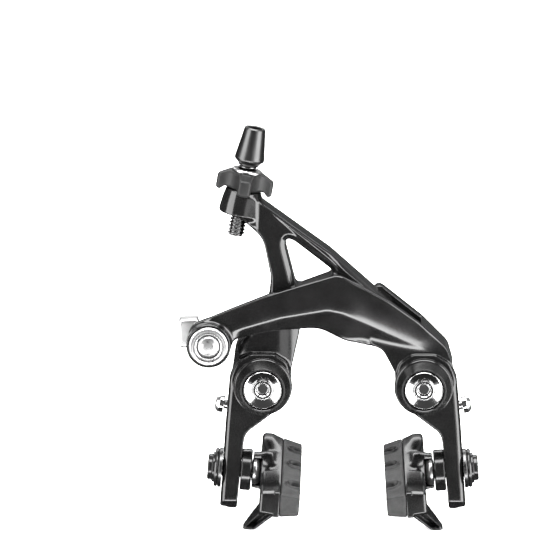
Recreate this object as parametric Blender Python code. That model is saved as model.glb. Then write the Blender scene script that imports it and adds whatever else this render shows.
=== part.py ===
"""Direct-mount rim brake caliper, modelled as the loose pieces it is assembled from.

Frame: the origin is midway between the two mounting bolts, on the plane where the caliper
seats on the fork. +X is to the right seen from the front, +Y goes back into the fork and
+Z is up. Constants are in millimetres; meshes are made in metres.
"""

import math

import bmesh
import bpy
from mathutils import Matrix, Vector

MM = 0.001
GAP = 0.3

# Mounting and pivots
BOLT_SPACING = 56.0
PIVOT_X = BOLT_SPACING / 2
BOLT_TIP_Y = 11.0
HEAD_FRONT_Y = -28.0
HEAD_BACK_Y = -25.2
HEAD_RADIUS = 6.75
SOCKET_RIM_RADIUS = 3.5
SOCKET_RADIUS = 2.3
SHANK_RADIUS = 3.0
FLANGE_RADIUS = 9.7
FLANGE_BACK_Y = -23.5
SEAL_RADIUS = 10.3
SLEEVE_RADIUS = 4.3
SLEEVE_BORE = SHANK_RADIUS + GAP
SEAT_RADIUS = 7.6
SEAT_THICKNESS = 1.3
BUSH_RADIUS = 5.7
ARM_BORE = BUSH_RADIUS + GAP

# Layers of the two arms, front to back
FRONT_Y = -24.0
FRONT_PLATE_BACK_Y = -19.7
YOKE_FRONT_Y = -19.2
YOKE_BACK_Y = -7.7
POCKET_BACK_Y = -7.2
SHOULDER_BACK_Y = -1.2
BOSS_FRONT_Y = -21.8
BOSS_BACK_Y = -1.6
BOSS_RADIUS = 9.8
LEG_BACK_Y = -11.2
SPRING_RECESS_RADIUS = 8.8
SPRING_RECESS_Y = -9.0
FLANGE_CLEARANCE = 11.5

# Contact between the arms: the roller at the end of the long strut
STRUT_END = (12.9, 26.8)
STRUT_END_RADIUS = 3.4
CONTACT = (12.2, 25.35)
ROLLER_RADIUS = 2.4
ROLLER_HALF_WIDTH = 2.4
CONTACT_PIN_RADIUS = 1.0
CONTACT_Y = (YOKE_FRONT_Y + YOKE_BACK_Y) / 2

# Cable clamp at the end of the right arm
CLAMP = (-46.8, 15.2)
CLAMP_EYE_RADIUS = 7.75
CLAMP_EYE_FRONT_Y = -26.2
CLAMP_EYE_BACK_Y = -17.3
CLAMP_RING_RADIUS = 6.85
CLAMP_FRONT_Y = -27.3
CLAMP_CAP_RADIUS = 3.9
ANCHOR_RADIUS = 2.5
LEVER_HUB_THICKNESS = 3.0
CABLE_ROOM = 2.1
WASHER_THICKNESS = 1.5

# Barrel adjuster; distances run up its own axis from the tip of the thread
ADJUSTER_FOOT = (-37.7, -13.5, 52.1)
ADJUSTER_LEAN = math.radians(10.4)
ADJUSTER_LENGTH = 38.7
THREAD_RADIUS = 3.0
THREAD_PITCH = 1.25
EYE_RADIUS = 7.4
EYE_TOP_RADIUS = 6.1
EYE_LOW = 7.9
EYE_HIGH = 16.6
KNOB_LOW = EYE_HIGH + GAP
KNOB_HIGH = 22.6
KNOB_REACH = 9.9
NECK_LOW = KNOB_HIGH + 1.5
CONE_LOW = 25.5

# Pads; distances run outwards along the pad bolt from the middle of the leg
PAD_BOLT = (39.1, -16.5, -31.1)
PAD_LEAN = math.radians(4.5)
LEG_HALF = 3.2
PAD_BOLT_RADIUS = 2.9
PAD_SLOT_RADIUS = PAD_BOLT_RADIUS + GAP
PAD_SLOT_TRAVEL = 3.5
PAD_LENGTH = 50.0
PAD_CENTRE_Y = -1.5
PAD_HEIGHT = 10.9
SHOE_TILT = math.radians(8.5)
HOLDER_BACK = -10.6
SEAM = -17.6
BRAKING_FACE = -24.4
FIN_ROOT_X = -13.4
FIN_ROOT_Z = -3.0
FIN_REACH = (4.0, 1.2)
FIN_SWEEP = (7.4, -10.6)

# Tension screws on the outer side of each arm
SCREW_SEAT = (40.6, -14.0, -8.6)
SCREW_LEAN = math.radians(12)
SCREW_SHANK_RADIUS = 1.6

ROUND = 20
FINE = 28


def clear_scene():
    for obj in list(bpy.data.objects):
        bpy.data.objects.remove(obj, do_unlink=True)


def material(name, colour, roughness, metallic):
    """One Principled material, made once and shared by name."""
    found = bpy.data.materials.get(name)
    if found:
        return found
    made = bpy.data.materials.new(name)
    made.use_nodes = True
    shader = made.node_tree.nodes["Principled BSDF"]
    shader.inputs["Base Color"].default_value = (*colour, 1.0)
    shader.inputs["Roughness"].default_value = roughness
    shader.inputs["Metallic"].default_value = metallic
    made.diffuse_color = (*colour, 1.0)
    return made


def black_anodised():
    return material("black_anodised", (0.012, 0.012, 0.013), 0.28, 0.7)


def black_steel():
    return material("black_steel", (0.02, 0.02, 0.022), 0.35, 0.8)


def polished_metal():
    return material("polished_metal", (0.82, 0.82, 0.83), 0.12, 1.0)


def satin_metal():
    return material("satin_metal", (0.62, 0.62, 0.63), 0.35, 1.0)


def dark_metal():
    return material("dark_metal", (0.06, 0.06, 0.065), 0.3, 0.9)


def dark_plastic():
    return material("dark_plastic", (0.035, 0.035, 0.037), 0.6, 0.0)


def bearing_bronze():
    return material("bearing_bronze", (0.45, 0.3, 0.16), 0.4, 1.0)


def pad_rubber_grey():
    return material("pad_rubber_grey", (0.09, 0.09, 0.09), 0.75, 0.0)


def object_from(bm, name, look, smooth=True):
    """Makes the object, in metres, with round faces shaded smooth."""
    bmesh.ops.scale(bm, vec=(MM, MM, MM), verts=bm.verts)
    bmesh.ops.recalc_face_normals(bm, faces=bm.faces)
    mesh = bpy.data.meshes.new(name)
    bm.to_mesh(mesh)
    bm.free()
    if smooth:
        mesh.shade_smooth()
        mesh.set_sharp_from_angle(angle=math.radians(35))
    mesh.materials.append(look)
    obj = bpy.data.objects.new(name, mesh)
    bpy.context.scene.collection.objects.link(obj)
    return obj


def fillet(corners, arc_points=5):
    """Outline from (x, z, radius) corners, each corner rounded by an arc of its radius."""
    outline = []
    for index, (x, z, radius) in enumerate(corners):
        here = Vector((x, z))
        before = Vector(corners[index - 1][:2]) - here
        after = Vector(corners[(index + 1) % len(corners)][:2]) - here
        half = before.angle(after) / 2
        reach = radius / math.tan(half) if radius else 0
        reach = min(reach, before.length * 0.49, after.length * 0.49)
        if reach < 0.05:
            outline.append(here)
            continue
        start = here + before.normalized() * reach
        end = here + after.normalized() * reach
        for step in range(arc_points + 1):
            t = step / arc_points
            outline.append(start.lerp(here, t).lerp(here.lerp(end, t), t))
    return outline


def prism(outline, front, back):
    """Closed bmesh of an XZ outline extruded from y = front to y = back."""
    bm = bmesh.new()
    verts = [bm.verts.new((x, front, z)) for x, z in outline]
    face = bm.faces.new(verts)
    extruded = bmesh.ops.extrude_face_region(bm, geom=[face])
    moved = [item for item in extruded["geom"] if isinstance(item, bmesh.types.BMVert)]
    bmesh.ops.translate(bm, verts=moved, vec=(0, back - front, 0))
    bmesh.ops.recalc_face_normals(bm, faces=bm.faces)
    return bm


def turned(profile, segments=ROUND):
    """Closed bmesh of revolution about local Z from (radius, height) points.

    A profile that starts and ends on the axis gives a solid; any other is closed into a ring.
    """
    bm = bmesh.new()
    rings = []
    for radius, height in profile:
        if radius < 1e-6:
            rings.append([bm.verts.new((0, 0, height))])
            continue
        angles = [math.tau * step / segments for step in range(segments)]
        ring = [(radius * math.cos(a), radius * math.sin(a), height) for a in angles]
        rings.append([bm.verts.new(point) for point in ring])
    solid = profile[0][0] < 1e-6 and profile[-1][0] < 1e-6
    pairs = list(zip(rings, rings[1:]))
    if not solid:
        pairs.append((rings[-1], rings[0]))
    for low, high in pairs:
        for step in range(segments):
            after = (step + 1) % segments
            if len(low) == 1:
                bm.faces.new((low[0], high[step], high[after]))
            elif len(high) == 1:
                bm.faces.new((low[step], low[after], high[0]))
            else:
                bm.faces.new((low[step], low[after], high[after], high[step]))
    bmesh.ops.recalc_face_normals(bm, faces=bm.faces)
    return bm


def along_y(x, z):
    """Places local +Z along world +Y, through (x, z)."""
    return Matrix.Translation((x, 0, z)) @ Matrix.Rotation(math.radians(-90), 4, "X")


def adjuster_frame():
    """Local +Z runs up the adjuster's axis from the tip of its thread."""
    return Matrix.Translation(ADJUSTER_FOOT) @ Matrix.Rotation(ADJUSTER_LEAN, 4, "Y")


def pad_frame():
    """Local +X runs outwards along the right pad bolt, local +Z up the leg."""
    return Matrix.Translation(PAD_BOLT) @ Matrix.Rotation(-PAD_LEAN, 4, "Y")


def bolt_axis_frame():
    """Local +Z runs outwards along the right pad bolt."""
    return pad_frame() @ Matrix.Rotation(math.radians(90), 4, "Y")


def shoe_frame():
    """The pad frame with local +Y, along the shoe, raised at the far end to follow the rim."""
    return pad_frame() @ Matrix.Rotation(SHOE_TILT, 4, "X")


def screw_frame():
    """Local +Z runs out of the right arm's side along its tension screw."""
    lean = Matrix.Rotation(math.radians(90) - SCREW_LEAN, 4, "Y")
    return Matrix.Translation(SCREW_SEAT) @ lean


def place(bm, frame, side=1):
    """Moves a bmesh by a frame and, for the left side, mirrors it in the plane x = 0."""
    bmesh.ops.transform(bm, matrix=frame, verts=bm.verts)
    if side < 0:
        bmesh.ops.scale(bm, vec=(-1, 1, 1), verts=bm.verts)
        bmesh.ops.reverse_faces(bm, faces=bm.faces)
    return bm


def helper(bm, name):
    """A hidden solid that only serves a Boolean."""
    obj = object_from(bm, name, black_steel(), smooth=False)
    obj.hide_render = True
    obj.display_type = "WIRE"
    return obj


def combine(obj, bm, operation):
    """Adds a Boolean with a helper made from bm.

    The arms' plates share planes and edges, which only the manifold solver joins cleanly.
    """
    tool = helper(bm, f"{obj.name}_{operation.lower()}_{len(obj.modifiers)}")
    modifier = obj.modifiers.new(tool.name, "BOOLEAN")
    modifier.operation = operation
    modifier.solver = "MANIFOLD"
    modifier.object = tool


def set_origin(obj, point):
    """Moves the object's origin to a point, in millimetres, without moving its mesh."""
    offset = Vector(point) * MM
    obj.data.transform(Matrix.Translation(-offset))
    obj.location = offset


def side_name(side):
    return "right" if side > 0 else "left"


def pivot_origin(side):
    return (side * PIVOT_X, 0, 0)


def disc_y(centre, radius, front, back, segments=ROUND):
    """Solid cylinder along Y between two planes."""
    profile = [(0, front), (radius, front), (radius, back), (0, back)]
    return place(turned(profile, segments), along_y(*centre))


# --- pieces fixed to the fork ---------------------------------------------------------


def make_pivot_bolt(side):
    dish_floor = HEAD_FRONT_Y + 1.9
    profile = [
        (0, HEAD_FRONT_Y + 2.8),
        (SOCKET_RADIUS, HEAD_FRONT_Y + 2.6),
        (SOCKET_RADIUS, HEAD_FRONT_Y + 0.5),
        (SOCKET_RIM_RADIUS, HEAD_FRONT_Y + 0.7),
        (SOCKET_RIM_RADIUS, dish_floor),
        (HEAD_RADIUS - 0.5, HEAD_FRONT_Y),
        (HEAD_RADIUS, HEAD_FRONT_Y + 0.2),
        (HEAD_RADIUS, HEAD_BACK_Y),
        (SHANK_RADIUS, HEAD_BACK_Y),
        (SHANK_RADIUS, BOLT_TIP_Y - 0.8),
        (SHANK_RADIUS - 0.8, BOLT_TIP_Y),
        (0, BOLT_TIP_Y),
    ]
    bm = place(turned(profile), along_y(side * PIVOT_X, 0))
    return object_from(bm, f"{side_name(side)}_pivot_bolt", polished_metal())


def make_pivot_flange(side):
    inner = HEAD_RADIUS + GAP
    profile = [
        (inner, HEAD_FRONT_Y + 0.1),
        (inner + 0.5, HEAD_FRONT_Y - 0.1),
        (FLANGE_RADIUS, HEAD_FRONT_Y + 3.3),
        (FLANGE_RADIUS, FLANGE_BACK_Y),
        (SLEEVE_BORE, FLANGE_BACK_Y),
        (SLEEVE_BORE, HEAD_BACK_Y + GAP),
        (inner, HEAD_BACK_Y + GAP),
    ]
    bm = place(turned(profile), along_y(side * PIVOT_X, 0))
    return object_from(bm, f"{side_name(side)}_pivot_flange", black_steel())


def make_seal_ring(side):
    front = FLANGE_BACK_Y + GAP
    back = BOSS_FRONT_Y - GAP
    inner = SLEEVE_RADIUS + GAP
    rim = SEAL_RADIUS - 0.3
    profile = [(inner, front), (rim, front), (SEAL_RADIUS, front + 0.3), (SEAL_RADIUS, back)]
    bm = place(turned(profile + [(inner, back)]), along_y(side * PIVOT_X, 0))
    return object_from(bm, f"{side_name(side)}_seal_ring", black_steel())


def make_pivot_sleeve(side):
    """Steel sleeve under the arm's bush, with the flange that seats on the fork."""
    profile = [
        (SLEEVE_BORE, FLANGE_BACK_Y + GAP),
        (SLEEVE_RADIUS, FLANGE_BACK_Y + GAP),
        (SLEEVE_RADIUS, -SEAT_THICKNESS),
        (SEAT_RADIUS, -SEAT_THICKNESS),
        (SEAT_RADIUS, 0),
        (SLEEVE_BORE, 0),
    ]
    bm = place(turned(profile), along_y(side * PIVOT_X, 0))
    return object_from(bm, f"{side_name(side)}_pivot_sleeve", satin_metal())


# --- pieces common to both arms -------------------------------------------------------


def leg_outline():
    """Right leg and boss seen from the front."""
    return fillet(
        [
            (24.0, 11.3, 4),
            (19.6, 8.2, 4),
            (18.2, 3.0, 4),
            (19.0, -3.4, 4),
            (24.6, -9.9, 5),
            (29.0, -13.3, 6),
            (34.2, -17.2, 6),
            (35.4, -26.0, 8),
            (37.2, -44.6, 1.2),
            (43.2, -44.1, 1.2),
            (41.1, -13.7, 10),
            (39.7, 2.0, 6),
            (36.9, 8.4, 4),
            (32.0, 11.3, 4),
        ]
    )


def leg_and_boss(side):
    return place(prism(leg_outline(), BOSS_FRONT_Y, LEG_BACK_Y), Matrix(), side)


def boss(side):
    return disc_y((side * PIVOT_X, 0), BOSS_RADIUS, BOSS_FRONT_Y, BOSS_BACK_Y, FINE)


def cut_pivot_bore(arm, side):
    centre = (side * PIVOT_X, 0)
    combine(arm, disc_y(centre, ARM_BORE, BOSS_FRONT_Y - 1, BOSS_BACK_Y + 1), "DIFFERENCE")
    recess = disc_y(centre, SPRING_RECESS_RADIUS, SPRING_RECESS_Y, BOSS_BACK_Y + 1)
    combine(arm, recess, "DIFFERENCE")


def cut_pad_slot(arm, side):
    """Upright slot through the leg for the pad bolt."""
    bm = bmesh.new()
    rows = []
    for reach in (-LEG_HALF - 3, LEG_HALF + 3):
        row = []
        for step in range(24):
            angle = math.tau * (step + 0.5) / 24
            travel = PAD_SLOT_TRAVEL if math.sin(angle) > 0 else -PAD_SLOT_TRAVEL
            y = PAD_SLOT_RADIUS * math.cos(angle)
            row.append(bm.verts.new((reach, y, PAD_SLOT_RADIUS * math.sin(angle) + travel)))
        rows.append(row)
    bm.faces.new(rows[0])
    bm.faces.new(rows[1])
    for step in range(24):
        after = (step + 1) % 24
        bm.faces.new((rows[0][step], rows[0][after], rows[1][after], rows[1][step]))
    bmesh.ops.recalc_face_normals(bm, faces=bm.faces)
    combine(arm, place(bm, pad_frame(), side), "DIFFERENCE")


def cut_screw_hole(arm, side):
    radius = SCREW_SHANK_RADIUS + GAP
    hole = turned([(0, -9.4), (radius, -9.4), (radius, 4), (0, 4)], 16)
    combine(arm, place(hole, screw_frame(), side), "DIFFERENCE")


def make_arm_bush(side):
    inner = SLEEVE_RADIUS + 0.25
    front = BOSS_FRONT_Y
    back = SPRING_RECESS_Y - GAP
    profile = [(inner, front), (BUSH_RADIUS, front), (BUSH_RADIUS, back), (inner, back)]
    bm = place(turned(profile, 24), along_y(side * PIVOT_X, 0))
    obj = object_from(bm, f"{side_name(side)}_arm_bush", bearing_bronze())
    set_origin(obj, pivot_origin(side))
    return obj


def make_return_spring(side):
    """Torsion spring coiled round the sleeve in the arm's rear recess."""
    wire = 0.75
    coil_radius = 6.6
    turns = 3.0
    per_turn = 12
    first_y = SPRING_RECESS_Y + wire + GAP
    pitch = 1.85
    curve = bpy.data.curves.new(f"{side_name(side)}_return_spring", "CURVE")
    curve.dimensions = "3D"
    curve.bevel_depth = wire * MM
    curve.bevel_resolution = 1
    curve.use_fill_caps = True
    points = []
    for step in range(int(turns * per_turn) + 1):
        angle = math.tau * step / per_turn
        x = side * PIVOT_X + side * coil_radius * math.cos(angle)
        z = coil_radius * math.sin(angle)
        points.append((x, first_y + pitch * step / per_turn, z))
    spline = curve.splines.new("POLY")
    spline.points.add(len(points) - 1)
    for point, place_mm in zip(spline.points, points):
        point.co = (*(value * MM for value in place_mm), 1.0)
    curve.materials.append(satin_metal())
    obj = bpy.data.objects.new(curve.name, curve)
    bpy.context.scene.collection.objects.link(obj)
    return obj


def make_tension_screw(side):
    """Chrome screw that sets the return spring, in the arm's outer side."""
    profile = [
        (0, 2.4),
        (1.0, 2.4),
        (1.3, 4.2),
        (2.4, 3.9),
        (3.2, 2.8),
        (3.2, 1.2),
        (SCREW_SHANK_RADIUS, 1.2),
        (SCREW_SHANK_RADIUS, -8.6),
        (0, -9.0),
    ]
    bm = place(turned(profile, 20), screw_frame(), side)
    obj = object_from(bm, f"{side_name(side)}_tension_screw", polished_metal())
    set_origin(obj, pivot_origin(side))
    return obj


# --- right arm and its cable clamp ----------------------------------------------------


def front_plate_outline():
    """Front plate of the right arm, from the clamp eye over the peak to the shoulder."""
    return fillet(
        [
            (-46.8, 9.4, 4),
            (-54.0, 14.0, 5),
            (-53.0, 21.6, 4),
            (-38.4, 27.8, 20),
            (-25.5, 33.0, 30),
            (-1.9, 40.4, 6),
            (15.8, 30.6, 30),
            (26.3, 22.9, 20),
            (36.0, 13.5, 6),
            (38.6, 6.0, 3),
            (28.0, 0.0, 3),
            (18.3, 4.0, 4),
            (14.2, 13.2, 7),
            (0.2, 16.0, 12),
            (-8.6, 20.8, 12),
            (-26.5, 19.6, 20),
            (-38.5, 16.4, 6),
            (-40.5, 12.0, 2),
        ]
    )


def shoulder_floor(x):
    """Height of the pocket floor, which the contact roller rests on."""
    distance = math.hypot(*CONTACT)
    normal = (CONTACT[0] / distance, CONTACT[1] / distance)
    rest = ROLLER_RADIUS + GAP
    foot = (CONTACT[0] - rest * normal[0], CONTACT[1] - rest * normal[1])
    return foot[1] - (x - foot[0]) * normal[0] / normal[1]


def shoulder_web_outline():
    """Solid between the front and rear plates, below the pocket and towards the boss."""
    return fillet(
        [
            (8.5, shoulder_floor(8.5), 0.5),
            (25.0, shoulder_floor(25.0), 1),
            (27.2, 22.0, 0.5),
            (36.0, 13.3, 6),
            (38.8, 6.0, 3),
            (28.0, 0.0, 3),
            (18.4, 4.0, 4),
            (13.8, 12.6, 6),
            (9.5, 15.0, 2),
        ]
    )


def shoulder_rear_outline():
    return fillet(
        [
            (11.6, 34.0, 3.5),
            (27.6, 21.2, 20),
            (36.8, 11.9, 6),
            (39.6, 2.0, 6),
            (28.0, 0.0, 3),
            (18.4, 4.0, 4),
            (13.8, 12.6, 7),
            (9.0, 19.0, 6),
            (8.6, 27.0, 4),
        ]
    )


def make_right_arm():
    front = prism(front_plate_outline(), FRONT_Y, FRONT_PLATE_BACK_Y)
    arm = object_from(front, "right_arm", black_anodised())
    centre = (PIVOT_X, 0)
    room = disc_y(centre, FLANGE_CLEARANCE, FRONT_Y - 5, BOSS_FRONT_Y, FINE)
    combine(arm, room, "DIFFERENCE")
    web = prism(shoulder_web_outline(), FRONT_PLATE_BACK_Y - 1, POCKET_BACK_Y + 1)
    combine(arm, web, "UNION")
    rear = prism(shoulder_rear_outline(), POCKET_BACK_Y, SHOULDER_BACK_Y)
    combine(arm, rear, "UNION")
    combine(arm, leg_and_boss(1), "UNION")
    combine(arm, boss(1), "UNION")
    eye = disc_y(CLAMP, CLAMP_EYE_RADIUS, CLAMP_EYE_FRONT_Y, CLAMP_EYE_BACK_Y, FINE)
    combine(arm, eye, "UNION")
    bore = disc_y(CLAMP, CLAMP_RING_RADIUS + GAP, CLAMP_EYE_FRONT_Y - 1, CLAMP_EYE_BACK_Y - 2)
    combine(arm, bore, "DIFFERENCE")
    through = disc_y(CLAMP, ANCHOR_RADIUS + GAP, CLAMP_EYE_BACK_Y - 4, CLAMP_EYE_BACK_Y + 2)
    combine(arm, through, "DIFFERENCE")
    cut_pivot_bore(arm, 1)
    cut_pad_slot(arm, 1)
    cut_screw_hole(arm, 1)
    return arm


def make_clamp_barrel():
    """Bright ring at the front of the clamp, with a groove and the seat of the cap."""
    back = CLAMP_EYE_BACK_Y - 2 - GAP
    profile = [
        (ANCHOR_RADIUS + GAP, CLAMP_FRONT_Y + 3.0),
        (CLAMP_CAP_RADIUS + GAP, CLAMP_FRONT_Y + 3.0),
        (CLAMP_CAP_RADIUS + GAP, CLAMP_FRONT_Y + 0.1),
        (4.8, CLAMP_FRONT_Y),
        (4.9, CLAMP_FRONT_Y + 0.9),
        (5.3, CLAMP_FRONT_Y + 0.9),
        (5.4, CLAMP_FRONT_Y),
        (CLAMP_RING_RADIUS - 0.5, CLAMP_FRONT_Y + 0.1),
        (CLAMP_RING_RADIUS, CLAMP_FRONT_Y + 0.6),
        (CLAMP_RING_RADIUS, back),
        (ANCHOR_RADIUS + GAP, back),
    ]
    bm = place(turned(profile), along_y(*CLAMP))
    return object_from(bm, "clamp_barrel", satin_metal())


def make_clamp_cap():
    front = CLAMP_FRONT_Y
    profile = [
        (0, front - 0.7),
        (2.0, front - 0.5),
        (3.4, front),
        (CLAMP_CAP_RADIUS, front + 0.6),
        (CLAMP_CAP_RADIUS, front + 2.0),
        (0, front + 2.0),
    ]
    return object_from(place(turned(profile), along_y(*CLAMP)), "clamp_cap", satin_metal())


def make_release_lever():
    """Hub behind the clamp eye with the thumb tab that opens the clamp."""
    front = CLAMP_EYE_BACK_Y + GAP
    web_back = front + LEVER_HUB_THICKNESS
    lever = object_from(disc_y(CLAMP, 6.4, front, web_back), "release_lever", polished_metal())
    web = fillet([(-56.6, 13.2, 1.2), (-56.8, 21.8, 1.2), (-50.0, 21.6, 1.5), (-47.5, 13.2, 1)])
    combine(lever, prism(web, front, web_back), "UNION")
    tab = fillet(
        [
            (-57.3, 12.6, 1.2),
            (-57.5, 22.4, 1.4),
            (-50.6, 22.9, 1.5),
            (-50.4, 20.4, 0.5),
            (-52.9, 17.0, 1),
            (-52.9, 12.4, 1),
        ]
    )
    combine(lever, prism(tab, front, front + 6.4), "UNION")
    hole = disc_y(CLAMP, ANCHOR_RADIUS + GAP, front - 1, front + 8)
    combine(lever, hole, "DIFFERENCE")
    return lever


def make_cable_washer():
    """Disc that presses the cable against the lever's hub."""
    front = CLAMP_EYE_BACK_Y + GAP + LEVER_HUB_THICKNESS + CABLE_ROOM
    inner = ANCHOR_RADIUS + GAP
    back = front + WASHER_THICKNESS
    profile = [(inner, front), (5.0, front), (5.4, front + 0.4), (5.4, back), (inner, back)]
    bm = place(turned(profile), along_y(*CLAMP))
    return object_from(bm, "cable_washer", satin_metal())


def make_cable_anchor_bolt():
    """Socket bolt from behind, through washer, lever and eye into the barrel."""
    stack = LEVER_HUB_THICKNESS + CABLE_ROOM + WASHER_THICKNESS
    head = CLAMP_EYE_BACK_Y + GAP + stack + GAP
    profile = [
        (0, CLAMP_FRONT_Y + 3.3),
        (ANCHOR_RADIUS, CLAMP_FRONT_Y + 3.3),
        (ANCHOR_RADIUS, head),
        (4.3, head),
        (4.3, head + 3.2),
        (2.3, head + 3.6),
        (2.3, head + 1.6),
        (0, head + 1.6),
    ]
    bm = place(turned(profile, 24), along_y(*CLAMP))
    return object_from(bm, "cable_anchor_bolt", black_steel())


# --- left arm --------------------------------------------------------------------------


def strut_direction():
    """Unit vector down the last stretch of the long strut, towards the contact."""
    return Vector((0.74, -0.673)).normalized()


def yoke_outline():
    """Y-shaped upper part of the left arm, seen from the front."""
    along = strut_direction()
    across = Vector((-along.y, along.x)) * STRUT_END_RADIUS
    end = Vector(STRUT_END)
    tip = end + along * STRUT_END_RADIUS
    top = end + across
    low = end - across
    return fillet(
        [
            (-31.0, 66.2, 1.5),
            (-4.5, 46.9, 20),
            (top.x, top.y, 0),
            ((tip + across).x, (tip + across).y, 3.3),
            ((tip - across).x, (tip - across).y, 3.3),
            (low.x, low.y, 0),
            (1.6, 33.2, 6),
            (-8.0, 31.6, 10),
            (-14.6, 27.4, 4),
            (-15.2, 18.2, 8),
            (-18.3, 4.0, 4),
            (-28.0, 0.0, 3),
            (-38.9, 3.0, 3),
            (-37.6, 13.0, 8),
            (-26.2, 28.5, 12),
            (-25.2, 38.0, 14),
            (-28.0, 51.8, 10),
            (-34.6, 58.2, 2),
            (-36.5, 60.5, 2),
            (-35.0, 67.0, 2),
        ]
    )


def window_outline():
    """Triangular window between the two struts."""
    return fillet([(-21.6, 54.4, 2.6), (-2.2, 39.2, 2.2), (-16.4, 33.9, 2.2)])


def adjuster_eye():
    profile = [(0, EYE_LOW), (EYE_RADIUS, EYE_LOW), (EYE_TOP_RADIUS, EYE_HIGH), (0, EYE_HIGH)]
    return place(turned(profile, FINE), adjuster_frame())


def roller_slot():
    """Pocket round the contact roller, open downwards and closed over its top."""
    along = strut_direction()
    across = Vector((-along.y, along.x))
    middle = Vector(CONTACT)
    reach = ROLLER_RADIUS + 2 * GAP
    corners = [
        middle + along * reach + across * reach,
        middle - along * reach + across * reach,
        middle - along * reach - across * 6,
        middle + along * reach - across * 6,
    ]
    half = ROLLER_HALF_WIDTH + GAP
    return prism([tuple(point) for point in corners], CONTACT_Y - half, CONTACT_Y + half)


def make_left_arm():
    yoke = prism(yoke_outline(), YOKE_FRONT_Y, YOKE_BACK_Y)
    arm = object_from(yoke, "left_arm", black_anodised())
    window = prism(window_outline(), YOKE_FRONT_Y - 1, YOKE_BACK_Y + 1)
    combine(arm, window, "DIFFERENCE")
    combine(arm, leg_and_boss(-1), "UNION")
    combine(arm, boss(-1), "UNION")
    combine(arm, adjuster_eye(), "UNION")
    hole = THREAD_RADIUS + GAP
    bore = turned([(0, EYE_LOW - 2), (hole, EYE_LOW - 2), (hole, EYE_HIGH + 2), (0, EYE_HIGH + 2)])
    combine(arm, place(bore, adjuster_frame()), "DIFFERENCE")
    combine(arm, roller_slot(), "DIFFERENCE")
    pin = disc_y(CONTACT, CONTACT_PIN_RADIUS + GAP, YOKE_FRONT_Y + 1.5, YOKE_BACK_Y - 1.5, 16)
    combine(arm, pin, "DIFFERENCE")
    cut_pivot_bore(arm, -1)
    cut_pad_slot(arm, -1)
    cut_screw_hole(arm, -1)
    return arm


def make_contact_pin():
    front = YOKE_FRONT_Y + 1.5 + GAP
    back = YOKE_BACK_Y - 1.5 - GAP
    return object_from(
        disc_y(CONTACT, CONTACT_PIN_RADIUS, front, back, 16), "contact_pin", satin_metal()
    )


def make_contact_roller():
    inner = CONTACT_PIN_RADIUS + GAP
    front = CONTACT_Y - ROLLER_HALF_WIDTH
    back = CONTACT_Y + ROLLER_HALF_WIDTH
    profile = [(inner, front), (ROLLER_RADIUS, front), (ROLLER_RADIUS, back), (inner, back)]
    bm = place(turned(profile, 32), along_y(*CONTACT))
    obj = object_from(bm, "contact_roller", satin_metal())
    set_origin(obj, (CONTACT[0], CONTACT_Y, CONTACT[1]))
    return obj


# --- barrel adjuster --------------------------------------------------------------------


def make_adjuster_barrel():
    """Threaded barrel; each turn of the thread is one ring of the profile."""
    root = THREAD_RADIUS - 0.5
    bore = 1.3
    threaded = math.floor(EYE_LOW / THREAD_PITCH)
    profile = [(bore, 0), (root, 0)]
    for turn in range(threaded):
        profile.append((THREAD_RADIUS, (turn + 0.5) * THREAD_PITCH))
        profile.append((root, (turn + 1.0) * THREAD_PITCH))
    neck = [(root, NECK_LOW), (THREAD_RADIUS, NECK_LOW + 0.2), (THREAD_RADIUS, CONE_LOW - GAP)]
    profile += neck + [(bore, CONE_LOW - GAP)]
    bm = place(turned(profile, 14), adjuster_frame())
    obj = object_from(bm, "adjuster_barrel", black_steel(), smooth=False)
    set_origin(obj, ADJUSTER_FOOT)
    return obj


def make_adjuster_cap():
    """Cone that takes the end of the cable housing."""
    socket_floor = ADJUSTER_LENGTH - 6.5
    profile = [
        (1.3, CONE_LOW),
        (3.6, CONE_LOW),
        (3.7, CONE_LOW + 0.4),
        (5.2, CONE_LOW + 1.8),
        (3.7, ADJUSTER_LENGTH - 0.3),
        (3.3, ADJUSTER_LENGTH),
        (2.6, ADJUSTER_LENGTH - 0.2),
        (2.6, socket_floor),
        (1.3, socket_floor),
    ]
    bm = place(turned(profile, FINE), adjuster_frame())
    obj = object_from(bm, "adjuster_cap", dark_metal())
    set_origin(obj, ADJUSTER_FOOT)
    return obj


def knob_radius(angle):
    """Four-lobed outline: lobes at 0, 90, 180 and 270 degrees."""
    lobe = (0.5 + 0.5 * math.cos(4 * angle)) ** 1.3
    return 5.9 + (KNOB_REACH - 5.9) * lobe


def make_adjuster_knob():
    segments = 48
    bore = THREAD_RADIUS + GAP
    bm = bmesh.new()
    rows = []
    for height, scale in ((KNOB_LOW, 0.93), (KNOB_LOW + 1, 1), (KNOB_HIGH - 1.2, 1), (KNOB_HIGH, 0.86)):
        row = []
        for step in range(segments):
            angle = math.tau * step / segments
            radius = knob_radius(angle) * scale
            row.append(bm.verts.new((radius * math.cos(angle), radius * math.sin(angle), height)))
        rows.append(row)
    for height in (KNOB_HIGH, KNOB_LOW):
        angles = [math.tau * step / segments for step in range(segments)]
        points = [(bore * math.cos(a), bore * math.sin(a), height) for a in angles]
        rows.append([bm.verts.new(point) for point in points])
    for low, high in zip(rows, rows[1:] + rows[:1]):
        for step in range(segments):
            after = (step + 1) % segments
            bm.faces.new((low[step], low[after], high[after], high[step]))
    obj = object_from(place(bm, adjuster_frame()), "adjuster_knob", dark_plastic())
    set_origin(obj, ADJUSTER_FOOT)
    return obj


def make_adjuster_washer():
    low = KNOB_HIGH + GAP
    inner = THREAD_RADIUS + GAP
    profile = [(inner, low), (5.2, low), (5.2, low + 0.6), (4.9, low + 0.9), (inner, low + 0.9)]
    bm = place(turned(profile), adjuster_frame())
    obj = object_from(bm, "adjuster_washer", satin_metal())
    set_origin(obj, ADJUSTER_FOOT)
    return obj


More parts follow.
